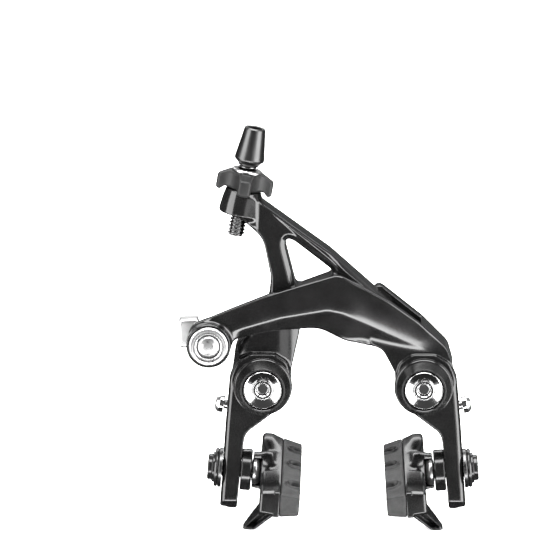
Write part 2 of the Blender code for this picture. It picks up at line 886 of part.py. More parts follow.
# --- pads -------------------------------------------------------------------------------


def pad_piece(profile, name, side, look, segments=ROUND):
    """A turned piece on the pad bolt's axis; heights run outwards."""
    bm = place(turned(profile, segments), bolt_axis_frame(), side)
    obj = object_from(bm, f"{side_name(side)}_{name}", look)
    set_origin(obj, (side * PAD_BOLT[0], PAD_BOLT[1], PAD_BOLT[2]))
    return obj


def make_pad_bolt(side):
    """Stud that carries the pad, from the holder out through the leg."""
    profile = [
        (0, HOLDER_BACK - 2.0),
        (PAD_BOLT_RADIUS, HOLDER_BACK - 2.0),
        (PAD_BOLT_RADIUS, 6.6),
        (2.4, 7.1),
        (0, 7.1),
    ]
    return pad_piece(profile, "pad_bolt", side, black_steel(), 20)


def make_pad_nut(side):
    inner = PAD_BOLT_RADIUS + GAP
    profile = [
        (inner, 6.0),
        (5.3, 6.0),
        (5.3, 6.6),
        (4.5, 6.9),
        (4.5, 8.1),
        (4.1, 8.4),
        (inner, 8.4),
    ]
    return pad_piece(profile, "pad_nut", side, black_steel(), 24)


def make_outer_washer(side):
    inner = PAD_BOLT_RADIUS + GAP
    profile = [(inner, 3.5), (6.9, 3.5), (6.9, 4.0), (6.6, 4.4), (inner, 4.4)]
    return pad_piece(profile, "outer_washer", side, dark_metal())


def make_toothed_washer(side):
    inner = PAD_BOLT_RADIUS + GAP
    profile = [(inner, 4.7), (6.7, 4.7), (6.7, 5.4), (6.3, 5.7), (inner, 5.7)]
    return pad_piece(profile, "toothed_washer", side, black_steel())


def make_spacer_washer(side):
    inner = PAD_BOLT_RADIUS + GAP
    profile = [(inner, -7.1), (7.0, -7.1), (7.3, -6.8), (7.3, -4.0), (7.0, -3.7), (inner, -3.7)]
    return pad_piece(profile, "spacer_washer", side, black_steel())


def make_convex_washer(side):
    """Washer with a spherical inner face, which lets the pad be aligned."""
    inner = PAD_BOLT_RADIUS + GAP
    profile = [(inner, -10.3), (3.9, -10.1), (4.7, -9.4), (5.1, -8.4), (4.9, -7.4), (inner, -7.4)]
    return pad_piece(profile, "convex_washer", side, satin_metal())


def pad_block(stations, side, name, look):
    """Lofts closed (x, z) sections along y, in the shoe's own frame."""
    bm = bmesh.new()
    rows = []
    for y, section in stations:
        rows.append([bm.verts.new((x, y, z)) for x, z in section])
    for near, far in zip(rows, rows[1:]):
        count = len(near)
        for step in range(count):
            after = (step + 1) % count
            bm.faces.new((near[step], near[after], far[after], far[step]))
    bm.faces.new(rows[0])
    bm.faces.new(rows[-1])
    bmesh.ops.recalc_face_normals(bm, faces=bm.faces)
    obj = object_from(place(bm, shoe_frame(), side), f"{side_name(side)}_{name}", look)
    set_origin(obj, (side * PAD_BOLT[0], PAD_BOLT[1], PAD_BOLT[2]))
    return obj


def pad_arch(y):
    """Drop of the pad's centre line along the rim, which is a circle seen from the side."""
    wheel_radius = 310.0
    return -(y * y) / (2 * wheel_radius)


def pad_stations():
    """Places along the pad, as (y, share of the full height)."""
    half = PAD_LENGTH / 2
    places = [(-half, 0.82), (-half + 2, 0.97), (-half + 8, 1.0), (-8, 1.0)]
    return places + [(8, 1.0), (half - 8, 1.0), (half - 2, 0.9), (half, 0.7)]


def make_pad_rubber(side):
    stations = []
    for y, share in pad_stations():
        top = PAD_HEIGHT / 2 * share
        face = top * 0.76
        centre = pad_arch(y)
        section = [
            (SEAM - GAP, centre - top),
            (SEAM - GAP, centre + top),
            (BRAKING_FACE, centre + face),
            (BRAKING_FACE, centre - face),
        ]
        stations.append((y + PAD_CENTRE_Y, section))
    return pad_block(stations, side, "pad_rubber", pad_rubber_grey())


def make_pad_holder(side):
    """Metal shoe behind the rubber, with its boss and the wheel guide fin."""
    stations = []
    for y, share in pad_stations():
        top = PAD_HEIGHT / 2 * share
        centre = pad_arch(y)
        section = [
            (SEAM, centre - top),
            (SEAM, centre + top),
            (HOLDER_BACK - 2.6, centre + top * 0.94),
            (HOLDER_BACK, centre + top * 0.55),
            (HOLDER_BACK, centre - top * 0.55),
            (HOLDER_BACK - 2.6, centre - top * 0.94),
        ]
        stations.append((y + PAD_CENTRE_Y, section))
    obj = pad_block(stations, side, "pad_holder", black_anodised())
    radius = PAD_BOLT_RADIUS + GAP
    low = HOLDER_BACK - 2.4
    high = HOLDER_BACK + 3
    recess = turned([(0, low), (radius, low), (radius, high), (0, high)], 20)
    cup = turned([(5.4, -13.4), (6.6, -13.4), (8.4, -11.8), (6.4, -7.4), (5.4, -7.4)], FINE)
    for bm, frame, operation in (
        (pad_fin(), shoe_frame(), "UNION"),
        (cup, bolt_axis_frame(), "UNION"),
        (cup_opening(), pad_frame(), "DIFFERENCE"),
        (recess, bolt_axis_frame(), "DIFFERENCE"),
    ):
        combine(obj, place(bm, frame, side), operation)
    return obj


def cup_opening():
    """Window in the front of the holder's cup, which shows the convex washer."""
    half = 4.4
    low = HOLDER_BACK + 0.2
    outline = [(low, -half), (low, half), (low + 5, half), (low + 5, -half)]
    return prism(outline, -12.0, -2.0)


def pad_fin():
    """Guide fin below the holder's near end, pointing outwards and down."""
    near = -PAD_LENGTH / 2 + PAD_CENTRE_Y + 1.0
    far = near + 12.0
    bm = bmesh.new()
    rows = []
    for share, squeeze in ((0.0, 1.0), (0.55, 0.8), (1.0, 0.32)):
        middle = FIN_ROOT_X + FIN_SWEEP[0] * share
        inner = middle - FIN_REACH[0] * squeeze
        outer = middle + FIN_REACH[1] * squeeze
        z = FIN_ROOT_Z + FIN_SWEEP[1] * share
        front = near + 4.5 * share
        back = far - 3.0 * share
        corners = ((inner, front), (outer, front), (outer, back), (inner, back))
        rows.append([bm.verts.new((x, y, z)) for x, y in corners])
    for low, high in zip(rows, rows[1:]):
        for step in range(4):
            after = (step + 1) % 4
            bm.faces.new((low[step], low[after], high[after], high[step]))
    bm.faces.new(rows[0])
    bm.faces.new(rows[-1])
    bmesh.ops.recalc_face_normals(bm, faces=bm.faces)
    return bm


def main():
    clear_scene()
    for side in (-1, 1):
        make_pivot_bolt(side)
        make_pivot_flange(side)
        make_seal_ring(side)
        make_pivot_sleeve(side)
        make_arm_bush(side)
        make_return_spring(side)
        make_tension_screw(side)
        make_pad_bolt(side)
        make_pad_nut(side)
        make_outer_washer(side)
        make_toothed_washer(side)
        make_spacer_washer(side)
        make_convex_washer(side)
        make_pad_holder(side)
        make_pad_rubber(side)
    make_right_arm()
    make_clamp_barrel()
    make_clamp_cap()
    make_release_lever()
    make_cable_washer()
    make_cable_anchor_bolt()
    make_left_arm()
    make_contact_pin()
    make_contact_roller()
    make_adjuster_barrel()
    make_adjuster_cap()
    make_adjuster_knob()
    make_adjuster_washer()


main()
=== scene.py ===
"""Looks of a direct-mount rim brake caliper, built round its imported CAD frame.

Lengths are in millimetres until a mesh is made, when they become metres. The two arms, the
pads, the knob and the lever are distance fields turned into meshes; round pieces are turned
from rounded profiles; springs are swept wires; the thread is a stack of lobed rings. Shapes of
the right side are mirrored for the left.
"""

import math

import bpy
import numpy as np
from mathutils import Matrix, Vector


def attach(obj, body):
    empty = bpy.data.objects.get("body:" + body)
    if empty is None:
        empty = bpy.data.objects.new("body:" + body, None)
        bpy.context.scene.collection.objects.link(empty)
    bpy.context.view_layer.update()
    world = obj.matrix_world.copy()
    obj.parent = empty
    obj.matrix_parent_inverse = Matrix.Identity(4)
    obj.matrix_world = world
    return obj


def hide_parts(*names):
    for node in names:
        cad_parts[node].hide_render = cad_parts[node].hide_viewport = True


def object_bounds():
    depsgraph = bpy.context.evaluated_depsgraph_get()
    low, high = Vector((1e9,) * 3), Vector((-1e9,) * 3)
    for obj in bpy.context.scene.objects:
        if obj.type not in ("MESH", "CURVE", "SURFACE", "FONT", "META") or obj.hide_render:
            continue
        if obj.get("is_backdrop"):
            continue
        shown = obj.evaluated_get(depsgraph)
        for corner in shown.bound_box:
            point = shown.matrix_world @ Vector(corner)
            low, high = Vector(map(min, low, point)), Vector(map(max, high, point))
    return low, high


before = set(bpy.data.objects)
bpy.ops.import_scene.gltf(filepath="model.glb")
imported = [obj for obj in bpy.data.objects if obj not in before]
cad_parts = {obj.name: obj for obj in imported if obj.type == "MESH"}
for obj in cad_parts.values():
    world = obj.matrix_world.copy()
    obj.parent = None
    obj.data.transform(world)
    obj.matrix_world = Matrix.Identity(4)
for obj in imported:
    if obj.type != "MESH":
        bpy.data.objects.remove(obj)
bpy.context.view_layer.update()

MM = 0.001

PIVOT_X = 28.0
HEAD_FRONT_Y = -28.0
FRONT_Y = -24.0
PLATE_BACK_Y = -19.7
YOKE_FRONT_Y = -19.2
YOKE_BACK_Y = -7.7
POCKET_BACK_Y = -7.2
REAR_BACK_Y = -1.2
BOSS_FRONT_Y = -21.8
BOSS_BACK_Y = -1.6
LEG_BACK_Y = -11.2
CLAMP = (-46.8, 15.2)
CONTACT = (12.2, 25.35)
STRUT_END = (12.9, 26.8)
ROLLER_MIDDLE_Y = -13.45
FLOOR_DROP = 2.7
BOSS_RADIUS = 9.8
ARM_BORE_RADIUS = 6.0
SPRING_RECESS = (8.8, -9.0)
EYE_LOW, EYE_HIGH = 7.9, 16.6
ADJUSTER_BORE_RADIUS = 3.3
THREAD_PITCH = 1.25
THREADED_LENGTH = 9.0
ADJUSTER_LENGTH = 38.7
CLAMP_BORE_RADIUS = 2.8
CLAMP_FRONT_Y = -27.3
PAD_HALF_LENGTH = 25.0
ADJUSTER = Matrix.Translation((-37.7, -13.5, 52.1)) @ Matrix.Rotation(math.radians(10.4), 4, "Y")
PAD = Matrix.Translation((39.1, -16.5, -31.1)) @ Matrix.Rotation(math.radians(-4.5), 4, "Y")
PAD_AXIS = PAD @ Matrix.Rotation(math.radians(90), 4, "Y")
SHOE = PAD @ Matrix.Rotation(math.radians(8.5), 4, "X")
SCREW = Matrix.Translation((40.6, -14.0, -8.6)) @ Matrix.Rotation(math.radians(78), 4, "Y")


# --- distance fields -----------------------------------------------------------------------


def smin(a, b, k):
    """Smaller of two fields, blended over a width k."""
    h = np.clip(0.5 + 0.5 * (b - a) / k, 0, 1)
    return b + (a - b) * h - k * h * (1 - h)


def smax(a, b, k):
    """Larger of two fields, blended over a width k."""
    return -smin(-a, -b, k)


def ease(low, high, value):
    """Smooth step from 0 at low to 1 at high; low may be the larger."""
    t = np.clip((value - low) / (high - low), 0, 1)
    return t * t * (3 - 2 * t)


def ramp(t, soft):
    """Zero below t = 0 and t above it, with a rounded knee."""
    return 0.5 * (t + np.sqrt(t * t + soft * soft))


def fillet(corners, arc_points=10):
    """Points of an outline given as (x, z, radius) corners."""
    outline = []
    for index, (x, z, radius) in enumerate(corners):
        here = Vector((x, z))
        before = Vector(corners[index - 1][:2]) - here
        after = Vector(corners[(index + 1) % len(corners)][:2]) - here
        half = before.angle(after) / 2
        reach = radius / math.tan(half) if radius else 0
        reach = min(reach, before.length * 0.49, after.length * 0.49)
        if reach < 0.05:
            outline.append(here)
            continue
        start = here + before.normalized() * reach
        end = here + after.normalized() * reach
        for step in range(arc_points + 1):
            t = step / arc_points
            outline.append(start.lerp(here, t).lerp(here.lerp(end, t), t))
    return np.array([tuple(p) for p in outline])


class Outline:
    """Signed distance to a filleted outline, tabled and read back with a smooth spline."""

    def __init__(self, corners, pitch=0.35, margin=7.0):
        points = fillet(corners)
        self.low = points.min(0) - margin
        self.pitch = pitch
        count = np.ceil((points.max(0) + margin - self.low) / pitch).astype(int) + 3
        xs = self.low[0] + pitch * np.arange(count[0])
        zs = self.low[1] + pitch * np.arange(count[1])
        x, z = np.meshgrid(xs, zs, indexing="ij")
        best = np.full(x.shape, 1e9)
        inside = np.zeros(x.shape, bool)
        for (ax, az), (bx, bz) in zip(points, np.roll(points, -1, 0)):
            dx, dz = bx - ax, bz - az
            length = dx * dx + dz * dz
            if length < 1e-9:
                continue
            t = np.clip(((x - ax) * dx + (z - az) * dz) / length, 0, 1)
            best = np.minimum(best, (x - ax - t * dx) ** 2 + (z - az - t * dz) ** 2)
            if az != bz:
                crosses = (az > z) != (bz > z)
                inside ^= crosses & (x < ax + (z - az) * dx / dz)
        self.table = np.where(inside, -1, 1) * np.sqrt(best)

    def __call__(self, x, z):
        x, z = np.broadcast_arrays(x, z)
        gx = np.clip((x - self.low[0]) / self.pitch, 1, self.table.shape[0] - 2.001)
        gz = np.clip((z - self.low[1]) / self.pitch, 1, self.table.shape[1] - 2.001)
        ix, iz = gx.astype(int), gz.astype(int)
        wx, wz = spline_weights(gx - ix), spline_weights(gz - iz)
        total = 0
        for a in range(4):
            for b in range(4):
                total = total + wx[a] * wz[b] * self.table[ix + a - 1, iz + b - 1]
        return total


def spline_weights(t):
    """Weights of the four nearest samples in a cubic B-spline."""
    u = 1 - t
    middle = (4 - 6 * t * t + 3 * t**3) / 6
    other = (4 - 6 * u * u + 3 * u**3) / 6
    return (u**3 / 6, middle, other, t**3 / 6)


def slab(d, y, front, back, round_front, round_back):
    """An outline's distance d extruded between two heights, with rounded rims."""
    r = np.where(y < (front + back) / 2, round_front, round_back)
    a = d + r
    b = np.maximum(front - y, y - back) + r
    return np.minimum(np.maximum(a, b), 0) + np.hypot(np.maximum(a, 0), np.maximum(b, 0)) - r


def rounded_meeting(a, b, c, r):
    """Room inside three fields at once, with edges of radius r."""
    inner = np.stack(np.broadcast_arrays(a + r, b + r, c + r))
    return np.minimum(inner.max(0), 0) + np.sqrt((np.maximum(inner, 0) ** 2).sum(0)) - r


def disc(x, z, centre, radius):
    """Distance outside a circle."""
    return np.hypot(x - centre[0], z - centre[1]) - radius


def local(x, y, z, frame_matrix, side=1):
    """World coordinates to a frame's own."""
    inv = frame_matrix.inverted()
    x = x * side
    return [inv[i][0] * x + inv[i][1] * y + inv[i][2] * z + inv[i][3] for i in range(3)]


def surface_net(field, low, high, pitch):
    """Vertices and quads of a field's zero surface."""
    axes = [np.arange(low[a], high[a] + pitch, pitch) for a in range(3)]
    x = axes[0][:, None, None]
    y = axes[1][None, :, None]
    z = axes[2][None, None, :]
    f = np.broadcast_to(field(x, y, z), [len(a) for a in axes]).astype(np.float32)
    inside = f < 0
    count = sum(
        inside[a : f.shape[0] - 1 + a, b : f.shape[1] - 1 + b, c : f.shape[2] - 1 + c].astype(np.int8)
        for a in (0, 1)
        for b in (0, 1)
        for c in (0, 1)
    )
    cells = np.argwhere((count > 0) & (count < 8))
    index = np.full(count.shape, -1, np.int64)
    index[tuple(cells.T)] = np.arange(len(cells))
    total = np.zeros((len(cells), 3))
    hits = np.zeros(len(cells))
    for axis in range(3):
        others = [a for a in range(3) if a != axis]
        for p in (0, 1):
            for q in (0, 1):
                start = cells.copy()
                start[:, others[0]] += p
                start[:, others[1]] += q
                end = start.copy()
                end[:, axis] += 1
                f0 = f[tuple(start.T)].astype(float)
                f1 = f[tuple(end.T)].astype(float)
                cut = (f0 < 0) != (f1 < 0)
                t = np.where(cut, f0 / np.where(cut, f0 - f1, 1), 0)
                point = start.astype(float)
                point[:, axis] += t
                total += point * cut[:, None]
                hits += cut
    verts = np.array(low) + pitch * total / hits[:, None]
    quads = []
    for axis in range(3):
        others = [a for a in range(3) if a != axis]
        lower = [slice(None)] * 3
        upper = [slice(None)] * 3
        lower[axis], upper[axis] = slice(None, -1), slice(1, None)
        crossing = inside[tuple(lower)] != inside[tuple(upper)]
        nodes = np.argwhere(crossing)
        keep = np.all([(nodes[:, a] > 0) & (nodes[:, a] < f.shape[a] - 1) for a in others], 0)
        nodes = nodes[keep]
        ring = []
        for p, q in ((-1, -1), (0, -1), (0, 0), (-1, 0)):
            cell = nodes.copy()
            cell[:, others[0]] += p
            cell[:, others[1]] += q
            ring.append(index[tuple(cell.T)])
        ring = np.stack(ring, 1)
        flip = inside[tuple(nodes.T)] == (axis == 1)
        ring[flip] = ring[flip][:, ::-1]
        quads.append(ring)
    return verts, np.concatenate(quads)


def gradient(field, points, reach=0.12):
    """Slope of a field at some points, by central differences."""
    out = []
    for axis in range(3):
        shift = np.zeros(3)
        shift[axis] = reach
        a, b = points + shift, points - shift
        out.append((field(*a.T) - field(*b.T)) / (2 * reach))
    return np.stack(out, 1)


def field_mesh(field, low, high, pitch):
    """Mesh of a field, with its points pulled onto the surface and its normals from the field."""
    verts, quads = surface_net(field, low, high, pitch)
    for _ in range(3):
        slope = gradient(field, verts)
        size = np.maximum((slope**2).sum(1), 0.2)
        move = slope * (field(*verts.T) / size)[:, None]
        length = np.linalg.norm(move, axis=1)[:, None]
        verts = verts - move * np.minimum(1, 0.4 * pitch / np.maximum(length, 1e-9))
    normals = gradient(field, verts, 0.16)
    normals /= np.maximum(np.linalg.norm(normals, axis=1), 1e-9)[:, None]
    return verts, quads, normals


# --- pieces --------------------------------------------------------------------------------


def linked(name, data):
    """New object in the scene."""
    obj = bpy.data.objects.new(name, data)
    bpy.context.scene.collection.objects.link(obj)
    return obj


def piece(name, shape, look, body, node, side=1):
    """Makes the object of a (vertices, faces, normals) shape, which rides on a body for a node."""
    verts, faces, normals = shape
    verts, normals = verts.copy(), normals.copy()
    if side < 0:
        verts[:, 0] *= -1
        normals[:, 0] *= -1
        faces = faces[:, ::-1]
    mesh = bpy.data.meshes.new(name)
    mesh.from_pydata((verts * MM).tolist(), [], [[int(i) for i in f if i >= 0] for f in faces])
    mesh.validate()
    mesh.shade_smooth()
    mesh.normals_split_custom_set_from_vertices(normals.tolist())
    mesh.materials.append(look)
    obj = linked(name, mesh)
    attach(obj, body)
    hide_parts(node)


def placed(shape, matrix):
    """Moves a shape by a rotation and a translation."""
    verts, faces, normals = shape
    rotation = np.array(matrix.to_3x3())
    moved = verts @ rotation.T + np.array(matrix.translation)
    return moved, faces, normals @ rotation.T


def along_y(x, z):
    """Local +Z runs along world +Y, through (x, z)."""
    return Matrix.Translation((x, 0, z)) @ Matrix.Rotation(math.radians(-90), 4, "X")


def rounded_profile(profile, rounding):
    """Profile points with rounded corners, and whether the profile closes into a ring."""
    points = []
    count = len(profile)
    closed = profile[0][0] > 1e-6 or profile[-1][0] > 1e-6
    for index, corner in enumerate(profile):
        here = Vector(corner[:2])
        radius = corner[2] if len(corner) > 2 else rounding
        if not closed and index in (0, count - 1):
            points.append(here)
            continue
        before = Vector(profile[index - 1][:2]) - here
        after = Vector(profile[(index + 1) % count][:2]) - here
        half = before.angle(after) / 2
        reach = min(radius / math.tan(half), before.length * 0.48, after.length * 0.48)
        start = here + before.normalized() * reach
        end = here + after.normalized() * reach
        for step in range(5):
            t = step / 4
            points.append(start.lerp(here, t).lerp(here.lerp(end, t), t))
    return points, closed


def turned(profile, segments=96, rounding=0.12):
    """Shape of revolution about local Z from (radius, height[, rounding]) points."""
    points, closed = rounded_profile(profile, rounding)
    count = len(points)
    area = sum(
        a.x * b.y - b.x * a.y for a, b in zip(points, points[1:] + points[:1])
    )
    turn = 1 if area > 0 else -1
    lean = []
    for index, here in enumerate(points):
        total = Vector((0, 0))
        for other, sign in ((index - 1, 1), (index + 1, -1)):
            if not closed and not 0 <= other < count:
                continue
            step = (here - points[other % count]) * sign
            if step.length > 1e-6:
                total += Vector((step.y, -step.x)) * step.length * turn
        if here.x < 1e-6:
            total.x = 0
        lean.append(total.normalized() if total.length > 0 else Vector((0, 1)))
    angles = np.linspace(0, math.tau, segments, endpoint=False)
    cos, sin = np.cos(angles), np.sin(angles)
    verts, normals, rings = [], [], []
    for point, normal in zip(points, lean):
        start = len(verts)
        if point.x < 1e-6:
            verts.append((0, 0, point.y))
            normals.append((0, 0, normal.y))
            rings.append([start] * segments)
            continue
        for c, s in zip(cos, sin):
            verts.append((point.x * c, point.x * s, point.y))
            normals.append((normal.x * c, normal.x * s, normal.y))
        rings.append(list(range(start, start + segments)))
    faces = []
    pairs = list(zip(rings, rings[1:])) + ([(rings[-1], rings[0])] if closed else [])
    for low, high in pairs:
        for step in range(segments):
            after = (step + 1) % segments
            loop = [low[step], low[after], high[after], high[step]]
            if low[step] == low[after]:
                loop = [low[step], high[after], high[step]]
            elif high[step] == high[after]:
                loop = [low[step], low[after], high[step]]
            if turn < 0:
                loop.reverse()
            faces.append(loop + [-1] * (4 - len(loop)))
    return np.array(verts), np.array(faces), np.array(normals)


def wire(points, radius, sides=14):
    """Round wire through points, closed at both ends."""
    points = np.array(points, float)
    tangent = np.gradient(points, axis=0)
    tangent /= np.linalg.norm(tangent, axis=1)[:, None]
    up = np.array((0.03, 0.06, 1.0))
    verts, normals, faces = [], [], []
    for point, t in zip(points, tangent):
        a = np.cross(up, t)
        a /= np.linalg.norm(a)
        b = np.cross(t, a)
        up = b
        for angle in np.linspace(0, math.tau, sides, endpoint=False):
            n = a * math.cos(angle) + b * math.sin(angle)
            verts.append(point + radius * n)
            normals.append(n)
    rows = len(points)
    for row in range(rows - 1):
        for s in range(sides):
            e = (s + 1) % sides
            base, nxt = row * sides, (row + 1) * sides
            faces.append([base + s, base + e, nxt + e, nxt + s])
    for row, sign in ((0, -1), (rows - 1, 1)):
        centre = len(verts)
        verts.append(points[row] + tangent[row] * sign * radius * 0.4)
        normals.append(tangent[row] * sign)
        for s in range(sides):
            e = (s + 1) % sides
            loop = [row * sides + s, row * sides + e, centre]
            faces.append((loop if sign > 0 else loop[::-1]) + [-1])
    return np.array(verts), np.array(faces), np.array(normals)


# --- materials -----------------------------------------------------------------------------


def new_material(name, colour, roughness, metallic=0.0):
    made = bpy.data.materials.new(name)
    made.use_nodes = True
    shader = made.node_tree.nodes["Principled BSDF"]
    shader.inputs["Base Color"].default_value = (*colour, 1)
    shader.inputs["Roughness"].default_value = roughness
    shader.inputs["Metallic"].default_value = metallic
    return made, made.node_tree, shader


def add(tree, kind, **values):
    node = tree.nodes.new(kind)
    for key, value in values.items():
        if key in node.inputs:
            node.inputs[key].default_value = value
        else:
            setattr(node, key, value)
    return node


def noise(tree, scale, detail=3.0, stretch=None):
    """Noise in object space; the scale is in features per metre."""
    place = add(tree, "ShaderNodeTexCoord")
    texture = add(tree, "ShaderNodeTexNoise", Scale=scale, Detail=detail)
    source = place.outputs["Object"]
    if stretch:
        mapping = add(tree, "ShaderNodeMapping")
        mapping.inputs["Scale"].default_value = stretch
        tree.links.new(source, mapping.inputs["Vector"])
        source = mapping.outputs["Vector"]
    tree.links.new(source, texture.inputs["Vector"])
    return texture


def spread(tree, source, low, high):
    """Maps 0.3..0.7 of a source to low..high."""
    node = add(tree, "ShaderNodeMapRange")
    node.inputs["From Min"].default_value = 0.3
    node.inputs["From Max"].default_value = 0.7
    node.inputs["To Min"].default_value = low
    node.inputs["To Max"].default_value = high
    tree.links.new(source, node.inputs["Value"])
    return node.outputs["Result"]


def bump(tree, shader, source, height, strength=1.0):
    """Raises the surface by a source; the height is in metres."""
    node = add(tree, "ShaderNodeBump")
    node.inputs["Strength"].default_value = strength
    node.inputs["Distance"].default_value = height
    tree.links.new(source, node.inputs["Height"])
    tree.links.new(node.outputs["Normal"], shader.inputs["Normal"])


def tint(tree, shader, source, low, high):
    """Varies the base colour between two colours."""
    mix = add(tree, "ShaderNodeMix", data_type="RGBA")
    colours = [s for s in mix.inputs if s.type == "RGBA"]
    colours[0].default_value = (*low, 1)
    colours[1].default_value = (*high, 1)
    tree.links.new(spread(tree, source, 0, 1), mix.inputs[0])
    result = [s for s in mix.outputs if s.type == "RGBA"][0]
    tree.links.new(result, shader.inputs["Base Color"])


def gloss_black(name, rough=(0.12, 0.16), base=0.003):
    """Black anodising: a fine blasted grain under a clear, glossy skin."""
    made, tree, shader = new_material(name, (base, base, base * 1.05), 0.22)
    shader.inputs["IOR"].default_value = 1.48
    grain = noise(tree, 5200, 2)
    cloud = noise(tree, 160, 3)
    tree.links.new(spread(tree, cloud.outputs["Fac"], *rough), shader.inputs["Roughness"])
    bump(tree, shader, grain.outputs["Fac"], 0.0000004, 0.5)
    tint(tree, shader, cloud.outputs["Fac"], (base * 0.8,) * 3, (base * 1.2,) * 3)
    return made


def metal(name, value, rough, grain_scale=900, stretch=(1, 1, 1), height=0.0000015):
    """Bare metal with the fine lines of its turning or drawing."""
    made, tree, shader = new_material(name, (value, value, value * 1.01), rough[0], 1.0)
    lines = noise(tree, grain_scale, 4, stretch)
    cloud = noise(tree, 220, 3)
    tree.links.new(spread(tree, lines.outputs["Fac"], *rough), shader.inputs["Roughness"])
    bump(tree, shader, lines.outputs["Fac"], height, 0.7)
    tint(tree, shader, cloud.outputs["Fac"], (value * 0.95,) * 3, (min(value * 1.04, 1),) * 3)
    return made


def rubber(name):
    """Moulded brake rubber: matte, with a fine speckled grain."""
    made, tree, shader = new_material(name, (0.015,) * 3, 0.5)
    shader.inputs["Specular IOR Level"].default_value = 0.3
    grain = noise(tree, 2600, 4)
    patch = noise(tree, 420, 4)
    bump(tree, shader, grain.outputs["Fac"], 0.00009, 0.9)
    tint(tree, shader, patch.outputs["Fac"], (0.005,) * 3, (0.016,) * 3)
    tree.links.new(spread(tree, grain.outputs["Fac"], 0.42, 0.6), shader.inputs["Roughness"])
    return made


def moulded(name, base=0.008):
    """Moulded plastic: satin, with a faint grain."""
    made, tree, shader = new_material(name, (base,) * 3, 0.45)
    shader.inputs["Specular IOR Level"].default_value = 0.22
    grain = noise(tree, 3000, 3)
    patch = noise(tree, 300, 3)
    bump(tree, shader, grain.outputs["Fac"], 0.00001, 0.7)
    tint(tree, shader, patch.outputs["Fac"], (base * 0.85,) * 3, (base * 1.2,) * 3)
    tree.links.new(spread(tree, patch.outputs["Fac"], 0.38, 0.5), shader.inputs["Roughness"])
    return made


ANODISED = gloss_black("anodised_gloss")
BLACK_STEEL = gloss_black("steel_black_gloss", (0.14, 0.2), 0.004)
THREAD_STEEL = metal("thread_steel_dark", 0.15, (0.12, 0.18), 1200, (1, 1, 1), 0.0000003)
WASHER_METAL = metal("washer_grey", 0.35, (0.25, 0.33), 1500)
SHOE_BLACK = gloss_black("shoe_black_soft_gloss", (0.17, 0.22), 0.003)
POLISHED = metal("bolt_polish", 0.4, (0.08, 0.12), 700, (1, 1, 1), 0.0000006)
SATIN = metal("metal_satin", 0.4, (0.26, 0.36), 1500)
LEVER_METAL = metal("lever_satin", 0.62, (0.28, 0.38), 1500)
DARK_METAL = metal("metal_dark_satin", 0.1, (0.25, 0.33), 1600)
CAP_METAL = metal("cap_dark_brushed", 0.055, (0.27, 0.34), 900, (1, 1, 0.05), 0.000004)
CHROME = metal("chrome_bright", 0.5, (0.05, 0.09), 500)
PLASTIC = moulded("knob_moulded")
RUBBER = rubber("pad_rubber_speckled")
BRONZE, bronze_tree, bronze_shader = new_material("bush_bronze", (0.45, 0.3, 0.16), 0.4, 1.0)
bump(bronze_tree, bronze_shader, noise(bronze_tree, 2400).outputs["Fac"], 0.00001)


# --- arms ----------------------------------------------------------------------------------

LEG = Outline(
    [
        (24.0, 11.3, 4),
        (19.6, 8.2, 4),
        (18.2, 3.0, 4),
        (19.0, -3.4, 4),
        (24.6, -9.9, 5),
        (29.0, -13.3, 6),
        (34.2, -17.2, 6),
        (35.4, -26.0, 8),
        (37.2, -44.9, 1.2),
        (43.2, -44.4, 1.2),
        (41.1, -13.7, 10),
        (39.7, 2.0, 6),
        (36.9, 8.4, 4),
        (32.0, 11.3, 4),
    ]
)
FRONT_PLATE = Outline(
    [
        (-46.8, 9.4, 4),
        (-54.0, 14.0, 5),
        (-53.0, 21.6, 4),
        (-38.4, 27.8, 20),
        (-25.5, 33.0, 30),
        (-1.9, 40.4, 6),
        (15.8, 30.6, 30),
        (26.3, 22.9, 20),
        (36.0, 13.5, 6),
        (38.6, 6.0, 3),
        (28.0, 0.0, 3),
        (18.3, 4.0, 4),
        (14.2, 13.2, 7),
        (0.2, 16.0, 12),
        (-8.6, 20.8, 12),
        (-26.5, 19.6, 20),
        (-38.5, 16.4, 6),
        (-40.5, 12.0, 2),
    ]
)


def shoulder_floor(x):
    """Height of the pocket floor; its normal points from the middle between the pivots."""
    distance = math.hypot(*CONTACT)
    nx, nz = CONTACT[0] / distance, CONTACT[1] / distance
    return CONTACT[1] - FLOOR_DROP * nz - (x - CONTACT[0] + FLOOR_DROP * nx) * nx / nz


SHOULDER_WEB = Outline(
    [
        (8.5, shoulder_floor(8.5), 0.5),
        (25.0, shoulder_floor(25.0), 1),
        (27.2, 22.0, 0.5),
        (36.0, 13.3, 6),
        (38.8, 6.0, 3),
        (28.0, 0.0, 3),
        (18.4, 4.0, 4),
        (13.8, 12.6, 6),
        (9.5, 15.0, 2),
    ]
)
SHOULDER_REAR = Outline(
    [
        (11.6, 34.0, 3.5),
        (27.6, 21.2, 20),
        (36.8, 11.9, 6),
        (39.6, 2.0, 6),
        (28.0, 0.0, 3),
        (18.4, 4.0, 4),
        (13.8, 12.6, 7),
        (9.0, 19.0, 6),
        (8.6, 27.0, 4),
    ]
)


def leg_field(x, y, z):
    """Leg and boss of the right side, with a broad rounded outer edge."""
    outline = LEG(x, z)
    middle = 37.6 - 0.09 * (z + 14)
    outer = ease(-1.0, 1.5, x - middle) * ease(6, -2, z)
    front_round = 0.5 + 1.7 * outer
    foot = 0.8 * ramp(-41.9 - z, 0.5)
    leg = slab(outline, y, BOSS_FRONT_Y + foot, LEG_BACK_Y, front_round, 0.9)
    boss = slab(disc(x, z, (PIVOT_X, 0), BOSS_RADIUS), y, BOSS_FRONT_Y, BOSS_BACK_Y, 0.5, 0.6)
    return smin(leg, boss, 0.8)


